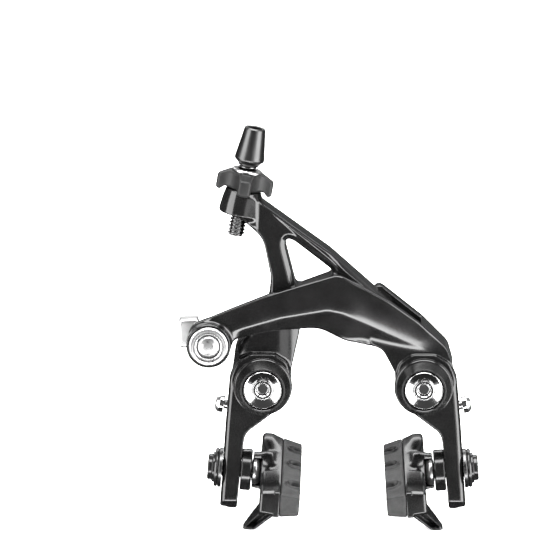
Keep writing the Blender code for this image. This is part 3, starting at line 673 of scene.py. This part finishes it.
def leg_cuts(field, x, y, z):
    """Cuts the pivot bore, the spring recess, the pad slot and the screw hole."""
    radius = disc(x, z, (PIVOT_X, 0), 0)
    field = smax(field, ARM_BORE_RADIUS - radius, 0.2)
    recess = np.maximum(radius - SPRING_RECESS[0], SPRING_RECESS[1] - y)
    field = smax(field, -recess, 0.3)
    px, py, pz = local(x, y, z, PAD)
    slot = np.hypot(py, np.maximum(np.abs(pz) - 3.5, 0)) - 3.2
    field = smax(field, -np.maximum(slot, np.abs(px) - 6), 0.3)
    sx, sy, sz = local(x, y, z, SCREW)
    return smax(field, -np.maximum(np.hypot(sx, sy) - 1.9, np.abs(sz + 3) - 6.4), 0.2)


CREASE_X = np.linspace(-60, 45, 421)
CREASE_Z = np.interp(
    CREASE_X,
    (-60, -37, -22.1, -5.5, -0.2, 13.7, 34.5, 45),
    (14.5, 20.5, 25, 28.0, 26.9, 20.4, 10.5, 4.0),
)
CREASE_Z = np.convolve(np.pad(CREASE_Z, 8, "edge"), np.hanning(19)[1:-1] / np.hanning(19).sum(), "valid")
CREASE_SLOPE = np.gradient(CREASE_Z, CREASE_X)


def front_relief(x, z):
    """How far the front plate's face lies behind its foremost plane."""
    height = np.interp(x, CREASE_X, CREASE_Z)
    slope = np.interp(x, CREASE_X, CREASE_SLOPE)
    below = (height - z) / np.sqrt(1 + slope * slope)
    right = ease(-4, 8, x)
    upper, lower, share = 1.6 + 4.4 * right, 0.5, 0.35 + 0.2 * right
    above = share * upper * np.exp(np.minimum(below, 0) / upper)
    under = np.maximum(below, 0) - (1 - share) * lower * (1 - np.exp(-np.maximum(below, 0) / lower))
    bevel = math.tan(math.radians(18)) * (above + under)
    bevel = smin(bevel, 3.4 + 0 * bevel, 0.4) * ease(-43, -34, x)
    bend = 0.035 * ramp(x + 2, 2.5) + 0.0011 * np.maximum(x + 2, 0) ** 2
    bend = bend + 0.03 * ramp(-2 - x, 2.5)
    return smin(bevel + bend, 3.6 + 0 * bevel, 0.5)


def right_arm_field(x, y, z):
    """Front plate, shoulder and leg, with the eye of the cable clamp."""
    plate_outline = FRONT_PLATE(x, z)
    face = FRONT_Y + front_relief(x, z)
    plate = slab(plate_outline, y, face, PLATE_BACK_Y, 0.75, 0.4)
    room = np.maximum(disc(x, z, (PIVOT_X, 0), 11.5), y - BOSS_FRONT_Y)
    plate = smax(plate, -room, 0.3)
    web = slab(SHOULDER_WEB(x, z), y, PLATE_BACK_Y - 1, POCKET_BACK_Y + 1, 0.2, 0.2)
    rear = slab(SHOULDER_REAR(x, z), y, POCKET_BACK_Y, REAR_BACK_Y, 0.5, 0.9)
    body = smin(smin(plate, web, 0.5), rear, 0.5)
    body = smin(body, leg_field(x, y, z), 0.7)
    eye_distance = disc(x, z, CLAMP, 0)
    body = smin(body, slab(eye_distance - 7.75, y, -26.2, -17.3, 0.7, 0.6), 1.6)
    body = smax(body, -np.maximum(eye_distance - 7.1, np.abs(y + 23.3) - 4.0), 0.25)
    body = smax(body, CLAMP_BORE_RADIUS - eye_distance, 0.2)
    return leg_cuts(body, x, y, z)


ALONG = Vector((0.74, -0.673)).normalized()
ACROSS = Vector((-ALONG.y, ALONG.x)) * 3.4
TIP = Vector(STRUT_END) + ALONG * 3.4
YOKE = Outline(
    [
        (-31.0, 66.2, 1.5),
        (-4.5, 46.9, 20),
        (STRUT_END[0] + ACROSS.x, STRUT_END[1] + ACROSS.y, 0),
        (TIP.x + ACROSS.x, TIP.y + ACROSS.y, 3.3),
        (TIP.x - ACROSS.x, TIP.y - ACROSS.y, 3.3),
        (STRUT_END[0] - ACROSS.x, STRUT_END[1] - ACROSS.y, 0),
        (1.6, 33.2, 6),
        (-8.0, 31.6, 10),
        (-14.6, 27.4, 4),
        (-15.2, 18.2, 8),
        (-18.3, 4.0, 4),
        (-28.0, 0.0, 3),
        (-38.9, 3.0, 3),
        (-37.6, 13.0, 8),
        (-26.2, 28.5, 12),
        (-25.2, 38.0, 14),
        (-28.0, 51.8, 10),
        (-34.6, 58.2, 2),
        (-36.5, 60.5, 2),
        (-35.0, 67.0, 2),
    ]
)
WINDOW = Outline([(-21.6, 54.4, 2.6), (-2.2, 39.2, 2.2), (-16.4, 33.9, 2.2)])


def below_top_edge(x, z):
    """Distance below the long strut's top edge, in the plane of the arm."""
    left = (z - 46.9) * 0.808 + (x + 4.5) * 0.589
    right = (z - 46.9) * 0.74 + (x + 4.5) * 0.673
    return -smin(left, right, 2.0)


def left_arm_field(x, y, z):
    """Strut pair round its window, with the adjuster's eye, the roller's slot and the leg."""
    outline = YOKE(x, z)
    window = WINDOW(x, z)
    drop = below_top_edge(x, z)
    finger = ease(-7, 2, x)
    edge = ease(3.5, 1.5, drop) * ease(-33, -28, x)
    flank = ease(-21, -27, x + 0.05 * z) * ease(46, 34, z)
    round_front = 0.7 + edge * (0.6 + 1.7 * finger) + 1.9 * flank
    beyond = np.maximum(ease(-30.6, -29.4, x), ease(57, 54, z))
    recess = 0.5 * ease(2.0, 3.8, drop) * beyond * (1 - finger)
    recess = recess + 0.021 * (x + 26.3) ** 2 * ease(27, 22, z)
    chamfer = 0.75 * ramp(1.7 - window, 0.5) * ease(3.2, 1.7, window)
    face = YOKE_FRONT_Y + recess + chamfer
    yoke = slab(outline, y, face, YOKE_BACK_Y, round_front, 0.7)
    yoke = smax(yoke, -window, 0.5)
    ax, ay, az = local(x, y, z, ADJUSTER)
    across = np.hypot(ax, ay)
    up = np.clip((az - EYE_LOW) / 8.7, 0, 1)
    eye = slab(across - 7.3 + 1.2 * up - 0.9 * up * (1 - up), az, EYE_LOW, EYE_HIGH, 0.6, 0.5)
    yoke = smin(yoke, eye, 2.2)
    yoke = smax(yoke, np.where(across < 9, az - EYE_HIGH, -9.0) + 0 * yoke, 0.4)
    body = smin(yoke, leg_field(-x, y, z), 0.8)
    body = smax(body, ADJUSTER_BORE_RADIUS - across + 0 * body, 0.25)
    offset_x, offset_z = x - CONTACT[0], z - CONTACT[1]
    run = offset_x * ALONG.x + offset_z * ALONG.y
    rise = -offset_x * ALONG.y + offset_z * ALONG.x
    pocket = np.maximum(np.abs(run) - 3.0, rise - 3.0)
    pocket = np.maximum(pocket, np.abs(y - ROLLER_MIDDLE_Y) - 2.7)
    body = smax(body, -pocket, 0.2)
    pin = np.maximum(np.hypot(offset_x, offset_z) - 1.3, np.abs(y - ROLLER_MIDDLE_Y) - 4.25)
    body = smax(body, -pin, 0.1)
    return leg_cuts(body, -x, y, z)


ARM_PITCH = 0.45
piece(
    "right_arm_body",
    field_mesh(right_arm_field, (-56.2, -27.4, -46.4), (44.6, 0.2, 42.2), ARM_PITCH),
    ANODISED,
    "right_arm",
    "right_arm",
)
piece(
    "left_arm_body",
    field_mesh(left_arm_field, (-46.2, -23.2, -46.4), (19.2, 0.2, 71.4), ARM_PITCH),
    ANODISED,
    "left_arm",
    "left_arm",
)


# --- pads ----------------------------------------------------------------------------------


def pad_section(y):
    """Centre height and half height of the pad along its length."""
    along = y + 1.5
    centre = -(along**2) / 620
    near = 5.45 * (0.8 + 0.2 * ease(-25, -18, along))
    return centre, near * (0.72 + 0.28 * ease(25.5, 18, along))


GROOVES = (10.0, -3.5, -19.5)


def rubber_field(x, y, z):
    """Brake block with grooves in its upper side, each with a raised rim."""
    centre, half = pad_section(y)
    side = (x + 17.6) / -6.8
    taper = 1 - (0.2 + 0.26 * ease(5, 20, y)) * np.clip(side, 0, 1.2)
    rim = 0
    for start in GROOVES:
        reach = np.hypot(y - start, np.maximum(x + 21.8, 0))
        rim = rim + 0.75 * np.exp(-(((reach - 2.2) / 0.45) ** 2))
    upright = np.abs(z - centre) - half * taper - rim * ease(0, 2, z - centre)
    across = np.maximum(x + 17.62, -24.4 - x)
    ends = np.abs(y + 1.5) - PAD_HALF_LENGTH
    r = 0.7
    body = rounded_meeting(upright, across, ends, r)
    for start in GROOVES:
        groove = np.hypot(y - start, np.maximum(x + 21.8, 0)) - 1.6
        groove = np.maximum(groove, centre + half * taper - 3.0 - z)
        body = smax(body, -groove, 0.3)
    return body


def holder_field(x, y, z):
    """Pad holder with the cup of the convex washer and the guide fin below."""
    centre, half = pad_section(y)
    near = ease(-9.0, -11.0, y)
    far = ease(4.0, 15.0, y)
    back = -12.3 + 1.9 * near + 2.2 * far
    swell = 1.7 * ease(-17.6, -13.2, x) * far
    slope = ease(-17.6, -11.0, x) * (1 - far)
    upright = np.abs(z - centre) - half * (1.0 - 0.2 * slope * (1 - 0.5 * near)) - swell
    across = np.maximum(-17.6 - x, x - back)
    ends = np.maximum(y - 23.5, 0.16 * z - 26.2 - y)
    r = np.where(x > -15.5, 1.6, 0.5)
    body = rounded_meeting(upright, across, ends, r)
    reach = np.hypot(y, z)
    cup = slab(reach - 6.4 - 0.7 * ease(-8.0, -12.4, x), x, -14.5, -7.4, 0.8, 0.4)
    body = smin(body, cup, 2.2)
    hollow = np.maximum(reach - 5.4, -10.5 - x)
    window = np.maximum(y + 1.5, -10.4 - x)
    body = smax(body, -np.minimum(hollow, window + 0 * hollow), 0.35)
    share = (z + 3.0) / -10.6
    middle = -13.4 + 7.4 * share
    squeeze = 1 - 0.32 * np.clip(share, 0, 1)
    thick = np.abs(x - middle + 2.1 * squeeze) - 3.2 * squeeze
    front, rear = -25.5 + 4.5 * share, -13.5 - 3.0 * share
    length = np.maximum(front - y, y - rear)
    tall = np.maximum(z + 3.0, -13.6 - z)
    fin = smax(smax(thick, length, 1.0), tall, 0.8)
    scoop = np.maximum(np.abs(x - middle + 1.7 * squeeze) - 2.0 * squeeze, y - front - 3.4)
    scoop = np.maximum(scoop, np.abs(z + 8.4) - 4.0)
    fin = smax(fin, -scoop, 0.6)
    body = smin(body, fin, 1.0)
    socket = np.maximum(np.hypot(y, z) - 3.2, np.abs(x + 10) - 3.0)
    return smax(body, -socket, 0.2)


def shoe_space(field, x_range, z_range, pitch):
    """Mesh of a field that is written in the pad's own axes."""
    low = (x_range[0], -27.4, z_range[0])
    high = (x_range[1], 24.4, z_range[1])
    return placed(field_mesh(field, low, high, pitch), SHOE)


rubber_shape = shoe_space(rubber_field, (-25.0, -17.2), (-8.2, 7.2), 0.33)
holder_shape = shoe_space(holder_field, (-18.4, -3.4), (-14.6, 8.6), 0.36)
for side, word in ((1, "right"), (-1, "left")):
    body = f"{word}_pad"
    piece(f"{word}_brake_block", rubber_shape, RUBBER, body, f"{word}_pad_rubber", side)
    piece(f"{word}_shoe", holder_shape, SHOE_BLACK, body, f"{word}_pad_holder", side)


# --- turned pieces on both sides -----------------------------------------------------------


def turned_on(matrix, profile, segments=96, rounding=0.12):
    return placed(turned(profile, segments, rounding), matrix)


PIVOT = along_y(PIVOT_X, 0)
h = HEAD_FRONT_Y
dish = h + 1.15
bolt_profile = [
    (0, h + 2.8),
    (1.9, h + 2.7, 0.2),
    (2.15, h + 0.95, 0.15),
    (2.5, h + 0.62, 0.15),
    (3.35, h + 0.62, 0.2),
    (3.5, h + 0.95, 0.1),
    (3.55, dish + 0.25, 0.15),
    (6.15, h + 0.1, 0.12),
    (6.45, h, 0.1),
    (6.75, h + 0.3, 0.15),
    (6.75, -25.2),
    (3.0, -25.2),
    (3.0, 10.2),
    (2.2, 11.0),
    (0, 11.0),
]
flange_profile = [
    (7.05, h + 0.25, 0.1),
    (7.35, h - 0.1, 0.15),
    (7.7, h - 0.1, 0.2),
    (9.55, h + 3.1, 0.3),
    (9.7, -23.5, 0.15),
    (3.3, -23.5),
    (3.3, -24.9),
    (7.05, -24.9),
]
seal_profile = [
    (4.6, -23.2),
    (9.6, -23.2, 0.2),
    (9.9, -22.95, 0.15),
    (9.75, -22.75, 0.1),
    (10.25, -22.6, 0.2),
    (10.3, -22.1, 0.15),
    (4.6, -22.1),
]
sleeve_profile = [
    (3.3, -23.2), (4.3, -23.2), (4.3, -1.3), (7.6, -1.3), (7.6, 0), (3.3, 0)
]
bush_profile = [(4.55, -21.8), (5.7, -21.8), (5.7, -9.3), (4.55, -9.3)]
screw_profile = [
    (0, 2.4),
    (1.0, 2.4, 0.1),
    (1.3, 4.2, 0.3),
    (2.4, 3.9, 0.6),
    (3.2, 2.8, 0.5),
    (3.2, 1.2, 0.15),
    (1.6, 1.2),
    (1.6, -8.6),
    (1.2, -9.0),
    (0, -9.0),
]
pad_bolt_profile = [
    (0, -12.6),
    (2.9, -12.6),
    (2.9, 6.5, 0.3),
    (2.4, 7.1, 0.2),
    (1.3, 7.1, 0.2),
    (1.1, 6.0, 0.2),
    (0, 6.0),
]
nut_profile = [
    (3.2, 5.98), (5.3, 5.98), (5.3, 6.6, 0.2), (4.5, 6.9), (4.5, 8.0, 0.3), (4.1, 8.4, 0.3), (3.2, 8.4)
]
outer_profile = [(3.2, 3.3), (6.9, 3.3), (6.9, 4.3, 0.2), (6.5, 4.66, 0.2), (3.2, 4.66)]
spacer_profile = [
    (3.2, -7.1),
    (6.9, -7.1, 0.3),
    (7.3, -6.7, 0.3),
    (7.3, -3.7, 0.3),
    (6.9, -3.3, 0.3),
    (3.2, -3.3),
]
convex_profile = [
    (3.2, -10.3), (3.7, -10.25, 0.5), (4.5, -9.7, 0.8), (5.1, -8.6, 0.8), (5.0, -7.4, 0.5), (3.2, -7.15)
]


def toothed_shape():
    """Lock washer with fine teeth round its rim."""
    verts, faces, normals = turned(
        [(3.2, 4.68), (6.5, 4.68, 0.2), (6.8, 5.0, 0.2), (6.8, 5.4, 0.2), (6.4, 5.96, 0.2), (3.2, 5.96)],
        144,
    )
    radius = np.hypot(verts[:, 0], verts[:, 1])
    angle = np.arctan2(verts[:, 1], verts[:, 0])
    outer = ease(5.6, 6.5, radius)
    shrink = 1 - 0.035 * outer * (0.5 + 0.5 * np.cos(angle * 24)) ** 2
    verts[:, :2] *= shrink[:, None]
    return placed((verts, faces, normals), PAD_AXIS)


def spring_points():
    """Return spring: about three coils round the sleeve."""
    points = []
    for step in range(150):
        angle = math.tau * step / 49
        points.append((PIVOT_X + 6.6 * math.cos(angle), -7.9 + 1.85 * step / 49, 6.6 * math.sin(angle)))
    return points


spring_shape = wire(spring_points(), 0.72)

BOTH_SIDES = [
    (
        "bolt_head", turned_on(PIVOT, bolt_profile, 128), POLISHED,
        "fork_mount", "pivot_bolt", "polished_metal",
    ),
    (
        "cone_collar", turned_on(PIVOT, flange_profile, 128), BLACK_STEEL,
        "fork_mount", "pivot_flange", "black_steel",
    ),
    (
        "seal", turned_on(PIVOT, seal_profile, 128), BLACK_STEEL,
        "fork_mount", "seal_ring", "black_steel",
    ),
    (
        "sleeve", turned_on(PIVOT, sleeve_profile), SATIN,
        "fork_mount", "pivot_sleeve", "satin_metal",
    ),
    ("bush", turned_on(PIVOT, bush_profile), BRONZE, "{side}_arm", "arm_bush", "bearing_bronze"),
    ("spring_coil", spring_shape, SATIN, "{side}_arm", "return_spring", "satin_metal"),
    (
        "adjust_screw", turned_on(SCREW, screw_profile, 64), CHROME,
        "{side}_arm", "tension_screw", "chrome",
    ),
    (
        "stud", turned_on(PAD_AXIS, pad_bolt_profile, 64), BLACK_STEEL,
        "{side}_pad_stack", "pad_bolt", "black_steel",
    ),
    (
        "nut", turned_on(PAD_AXIS, nut_profile), BLACK_STEEL,
        "{side}_pad_stack", "pad_nut", "black_steel",
    ),
    (
        "washer_outer", turned_on(PAD_AXIS, outer_profile), DARK_METAL,
        "{side}_pad_stack", "outer_washer", "dark_metal",
    ),
    (
        "washer_toothed", toothed_shape(), BLACK_STEEL,
        "{side}_pad_stack", "toothed_washer", "black_steel",
    ),
    (
        "washer_spacer", turned_on(PAD_AXIS, spacer_profile), BLACK_STEEL,
        "{side}_pad_stack", "spacer_washer", "black_steel",
    ),
    (
        "washer_convex", turned_on(PAD_AXIS, convex_profile), SATIN,
        "{side}_pad_stack", "convex_washer", "satin_metal",
    ),
]
for side, word in ((1, "right"), (-1, "left")):
    for name, shape, look, body, node, slot in BOTH_SIDES:
        piece(f"{word}_{name}", shape, look, body.format(side=word), f"{word}_{node}", side)


# --- cable clamp ---------------------------------------------------------------------------

EYE = along_y(*CLAMP)
barrel_profile = [
    (2.8, CLAMP_FRONT_Y + 3.0),
    (4.2, CLAMP_FRONT_Y + 3.0),
    (4.2, CLAMP_FRONT_Y + 0.35, 0.15),
    (4.75, CLAMP_FRONT_Y, 0.15),
    (4.9, CLAMP_FRONT_Y + 0.8, 0.1),
    (5.3, CLAMP_FRONT_Y + 0.8, 0.1),
    (5.4, CLAMP_FRONT_Y, 0.15),
    (6.3, CLAMP_FRONT_Y + 0.1, 0.3),
    (6.85, CLAMP_FRONT_Y + 0.6, 0.3),
    (6.85, -19.6),
    (2.8, -19.6),
]
cap_profile = [
    (0, CLAMP_FRONT_Y - 0.7),
    (1.8, CLAMP_FRONT_Y - 0.55, 1.0),
    (3.3, CLAMP_FRONT_Y - 0.05, 0.8),
    (3.9, CLAMP_FRONT_Y + 0.6, 0.4),
    (3.9, CLAMP_FRONT_Y + 2.0),
    (0, CLAMP_FRONT_Y + 2.0),
]
washer_profile = [(2.8, -11.9), (5.0, -11.9), (5.4, -11.5), (5.4, -10.4), (2.8, -10.4)]
anchor_profile = [
    (0, -24.0),
    (2.5, -24.0),
    (2.5, -10.1),
    (4.3, -10.1),
    (4.3, -6.9, 0.4),
    (2.3, -6.5, 0.2),
    (2.3, -8.5),
    (0, -8.5),
]
for name, profile, look, body, node, slot in (
    ("clamp_ring", barrel_profile, SATIN, "right_arm", "clamp_barrel", "satin_metal"),
    ("clamp_button", cap_profile, SATIN, "right_arm", "clamp_cap", "satin_metal"),
    ("clamp_washer", washer_profile, SATIN, "right_arm", "cable_washer", "satin_metal"),
    ("anchor_screw", anchor_profile, BLACK_STEEL, "right_arm", "cable_anchor_bolt", "black_steel"),
):
    piece(name, turned_on(EYE, profile), look, body, node)

LEVER_WEB = Outline([(-56.6, 13.2, 1.2), (-56.8, 21.8, 1.2), (-50.0, 21.6, 1.5), (-47.5, 13.2, 1)], 0.25, 4)
LEVER_TAB = Outline(
    [
        (-57.3, 12.6, 1.2),
        (-57.5, 22.4, 1.4),
        (-50.6, 22.9, 1.5),
        (-50.4, 20.4, 0.5),
        (-52.9, 17.0, 1),
        (-52.9, 12.4, 1),
    ],
    0.25,
    4,
)


def lever_field(x, y, z):
    """Release lever: hub, web and thumb tab."""
    hub = slab(disc(x, z, CLAMP, 6.4), y, -17.0, -14.0, 0.4, 0.4)
    web = slab(LEVER_WEB(x, z), y, -17.0, -14.0, 0.4, 0.4)
    tab = slab(LEVER_TAB(x, z), y, -17.0, -10.6, 0.7, 0.7)
    body = smin(smin(hub, web, 0.6), tab, 1.0)
    return smax(body, CLAMP_BORE_RADIUS - disc(x, z, CLAMP, 0), 0.2)


piece(
    "thumb_lever",
    field_mesh(lever_field, (-58.4, -17.8, 7.8), (-39.4, -9.8, 24.0), 0.3),
    LEVER_METAL,
    "release_lever",
    "release_lever",
)


# --- contact between the arms --------------------------------------------------------------

TOUCH = along_y(*CONTACT)
piece(
    "roller",
    turned_on(TOUCH, [(1.3, -15.85), (2.4, -15.85, 0.3), (2.4, -11.05, 0.3), (1.3, -11.05)], 64),
    SATIN,
    "contact_roller",
    "contact_roller",
)
piece(
    "roller_pin",
    turned_on(TOUCH, [(0, -17.4), (1.0, -17.4), (1.0, -9.5), (0, -9.5)], 48),
    SATIN,
    "left_arm",
    "contact_pin",
)


# --- barrel adjuster -----------------------------------------------------------------------


def thread_shape():
    """Barrel with a true single-start thread at its lower end and a second one on its neck."""
    sides, per_turn = 60, 14
    lower = np.arange(0, THREADED_LENGTH, THREAD_PITCH / per_turn)
    heights = np.concatenate([lower, [12, 20, 24.0], np.arange(24.1, 25.2, 0.08), [25.2]])
    angles = np.linspace(0, math.tau, sides, endpoint=False)
    verts = []
    for height in heights:
        wave = np.abs(((height / THREAD_PITCH - angles / math.tau) % 1.0) - 0.5) * 2
        depth = 0.75 * np.clip(1.3 * wave - 0.15, 0, 1) * ease(0, 0.5, height) * ease(9, 8.4, height)
        neck = ease(23.9, 24.2, height) * (0.55 + 0.25 * np.clip(1.3 * wave - 0.15, 0, 1))
        grown = 2.25 + depth + neck
        verts += [(r * math.cos(a), r * math.sin(a), height) for r, a in zip(grown, angles)]
    rows = len(heights)
    for height in (25.2, 0):
        verts += [(1.3 * math.cos(a), 1.3 * math.sin(a), height) for a in angles]
    faces = []
    for row in range(rows + 2):
        nxt = (row + 1) % (rows + 2)
        for s in range(sides):
            e = (s + 1) % sides
            faces.append([row * sides + s, row * sides + e, nxt * sides + e, nxt * sides + s])
    verts, faces = np.array(verts), np.array(faces)
    normals = face_normals(verts, faces)
    return placed((verts, faces, normals), ADJUSTER)


def face_normals(verts, faces):
    """Vertex normals averaged from the faces."""
    a = verts[faces[:, 2]] - verts[faces[:, 0]]
    b = verts[faces[:, 3]] - verts[faces[:, 1]]
    flat = np.cross(a, b)
    total = np.zeros(verts.shape)
    for corner in range(4):
        np.add.at(total, faces[:, corner], flat)
    return total / np.maximum(np.linalg.norm(total, axis=1), 1e-12)[:, None]


def knob_field(x, y, z):
    """Four-lobed knob with a rib along both edges of each lobe."""
    reach = np.hypot(x, y)
    star = reach - 9.9
    for quarter in range(4):
        angle = math.radians(45 + 90 * quarter)
        scallop = np.hypot(x - 12.2 * math.cos(angle), y - 12.2 * math.sin(angle))
        star = smax(star, 6.3 - scallop, 1.2)
    beside = np.minimum(np.abs(x), np.abs(y))
    rib = 0.6 * np.exp(-(((beside - 2.5) / 0.5) ** 2)) * ease(4.6, 6.2, reach) * ease(9.8, 8.2, reach)
    top = 22.6 - 0.35 * np.clip(reach - 5.2, 0, 4.8) + rib
    low = 16.9 - 1.4 * ease(6.9, 8.7, reach)
    body = slab(star, z, low, top, 1.0, 0.8)
    hub = slab(reach - 5.6, z, 16.9, 22.6, 0.3, 0.3)
    return smax(smin(body, hub, 0.6), ADJUSTER_BORE_RADIUS - reach, 0.2)


def cap_shape():
    """Cone that takes the end of the cable housing."""
    length = ADJUSTER_LENGTH
    profile = [
        (1.3, 25.25),
        (3.5, 25.25),
        (3.75, 25.9, 0.2),
        (5.05, 27.1, 0.4),
        (5.2, 27.7, 0.4),
        (3.7, length - 0.5, 0.2),
        (3.3, length, 0.25),
        (2.6, length - 0.25, 0.1),
        (2.6, length - 6.5),
        (1.3, length - 6.5),
    ]
    return turned_on(ADJUSTER, profile)


piece("threaded_barrel", thread_shape(), THREAD_STEEL, "adjuster_barrel", "adjuster_barrel")
piece("cone_cap", cap_shape(), CAP_METAL, "adjuster_barrel", "adjuster_cap")
piece(
    "knob",
    placed(field_mesh(knob_field, (-10.8, -10.8, 14.6), (10.8, 10.8, 23.9), 0.3), ADJUSTER),
    PLASTIC,
    "adjuster_knob",
    "adjuster_knob",
)
piece(
    "knob_washer",
    turned_on(ADJUSTER, [(3.3, 22.9), (5.2, 22.9), (5.2, 23.5, 0.2), (4.9, 23.8, 0.2), (3.3, 23.8)]),
    WASHER_METAL,
    "adjuster_knob",
    "adjuster_washer",
)


# --- studio --------------------------------------------------------------------------------


def floor():
    """Pale ground under the caliper."""
    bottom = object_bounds()[0][2]
    mesh = bpy.data.meshes.new("studio_floor")
    half = 6.0
    corners = [(-half, -half, bottom), (half, -half, bottom), (half, half, bottom), (-half, half, bottom)]
    mesh.from_pydata(corners, [], [(0, 1, 2, 3)])
    obj = linked("studio_floor", mesh)
    made, tree, shader = new_material("floor_pale", (0.93, 0.93, 0.93), 0.9)
    shader.inputs["Specular IOR Level"].default_value = 0.0
    shader.inputs["Emission Color"].default_value = (1, 1, 1, 1)
    shader.inputs["Emission Strength"].default_value = 0.7
    speck = noise(tree, 30, 2)
    tint(tree, shader, speck.outputs["Fac"], (0.925,) * 3, (0.935,) * 3)
    mesh.materials.append(made)
    obj.visible_glossy = False
    obj.visible_shadow = False
    obj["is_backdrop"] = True


# Each light: name, azimuth and elevation in degrees, distance, width and height in metres, radiance
CARDS = (
    ("card_left", -60, 2, 1.3, 0.9, 1.9, 9),
    ("card_right", 58, 2, 1.3, 1.0, 1.9, 11),
    ("card_shoulder", 25, -8, 1.4, 0.34, 0.8, 2.6),
    ("card_top", 0, 78, 1.3, 1.4, 1.0, 13),
    ("card_low", 0, -33, 1.3, 1.5, 0.26, 16),
    ("card_back", 180, 42, 1.4, 1.8, 0.6, 4),
)
# World brightness from straight down (0) to straight up (1), in front and behind
FRONT_BANDS = ((0.0, 0.04), (0.15, 0.04), (0.24, 1.3), (0.34, 0.16), (0.6, 0.22), (0.8, 0.12), (1.0, 0.3))
BACK_BANDS = ((0.0, 0.1), (0.4, 0.15), (0.58, 0.12), (0.66, 0.5), (0.8, 0.8), (1.0, 0.3))


def card(name, azimuth, elevation, distance, width, height, radiance):
    """Soft light aimed at the caliper; azimuth is from the camera's side towards +X."""
    data = bpy.data.lights.new(name, "AREA")
    data.shape = "RECTANGLE"
    data.size, data.size_y = width, height
    data.energy = radiance * width * height * math.pi
    obj = linked(name, data)
    a, e = math.radians(azimuth), math.radians(elevation)
    away = Vector((math.sin(a) * math.cos(e), -math.cos(a) * math.cos(e), math.sin(e)))
    obj.location = away * distance
    obj.rotation_euler = away.to_track_quat("Z", "Y").to_euler()


def studio():
    """Floor, lights and surroundings."""
    floor()
    for row in CARDS:
        card(*row)
    surroundings()
    bpy.context.scene.view_settings.view_transform = "Standard"


def surroundings():
    """White to the camera; reflections see one ramp of heights in front and one behind."""
    world = bpy.data.worlds.new("studio")
    bpy.context.scene.world = world
    world.use_nodes = True
    tree = world.node_tree
    tree.nodes.clear()
    out = tree.nodes.new("ShaderNodeOutputWorld")
    seen = add(tree, "ShaderNodeBackground")
    seen.inputs["Color"].default_value = (1, 1, 1, 1)
    seen.inputs["Strength"].default_value = 1.0
    dim = add(tree, "ShaderNodeBackground")
    dim.inputs["Strength"].default_value = 1.0
    place = add(tree, "ShaderNodeTexCoord")
    split = tree.nodes.new("ShaderNodeSeparateXYZ")
    tree.links.new(place.outputs["Generated"], split.inputs[0])
    bands = []
    for stops in (FRONT_BANDS, BACK_BANDS):
        heights = tree.nodes.new("ShaderNodeValToRGB")
        heights.color_ramp.interpolation = "EASE"
        while len(heights.color_ramp.elements) < len(stops):
            heights.color_ramp.elements.new(0.5)
        for element, (at, value) in zip(heights.color_ramp.elements, stops):
            element.position = at
            element.color = (value, value, value * 1.01, 1)
        rise = add(tree, "ShaderNodeMapRange")
        rise.inputs["From Min"].default_value = -1
        tree.links.new(split.outputs["Z"], rise.inputs["Value"])
        tree.links.new(rise.outputs["Result"], heights.inputs[0])
        bands.append(heights.outputs[0])
    round_about = add(tree, "ShaderNodeMapRange")
    round_about.inputs["From Min"].default_value = -0.4
    round_about.inputs["From Max"].default_value = 0.5
    tree.links.new(split.outputs["Y"], round_about.inputs["Value"])
    sky = tree.nodes.new("ShaderNodeMix")
    sky.data_type = "RGBA"
    tree.links.new(round_about.outputs["Result"], sky.inputs[0])
    colours = [socket for socket in sky.inputs if socket.type == "RGBA"]
    tree.links.new(bands[0], colours[0])
    tree.links.new(bands[1], colours[1])
    result = [socket for socket in sky.outputs if socket.type == "RGBA"][0]
    tree.links.new(result, dim.inputs["Color"])
    path = tree.nodes.new("ShaderNodeLightPath")
    mix = tree.nodes.new("ShaderNodeMixShader")
    tree.links.new(path.outputs["Is Camera Ray"], mix.inputs[0])
    tree.links.new(dim.outputs[0], mix.inputs[1])
    tree.links.new(seen.outputs[0], mix.inputs[2])
    tree.links.new(mix.outputs[0], out.inputs["Surface"])


def camera():
    """Long lens from in front, 13 degrees above."""
    data = bpy.data.cameras.new("camera")
    data.sensor_width = 36
    data.lens = 290.42
    data.clip_start = 0.01
    obj = linked("camera", data)
    obj.location = (-0.00631, -1.47761, 0.37605)
    obj.rotation_euler = (math.radians(77.093), 0, math.radians(0.79))
    bpy.context.scene.camera = obj


studio()
camera()
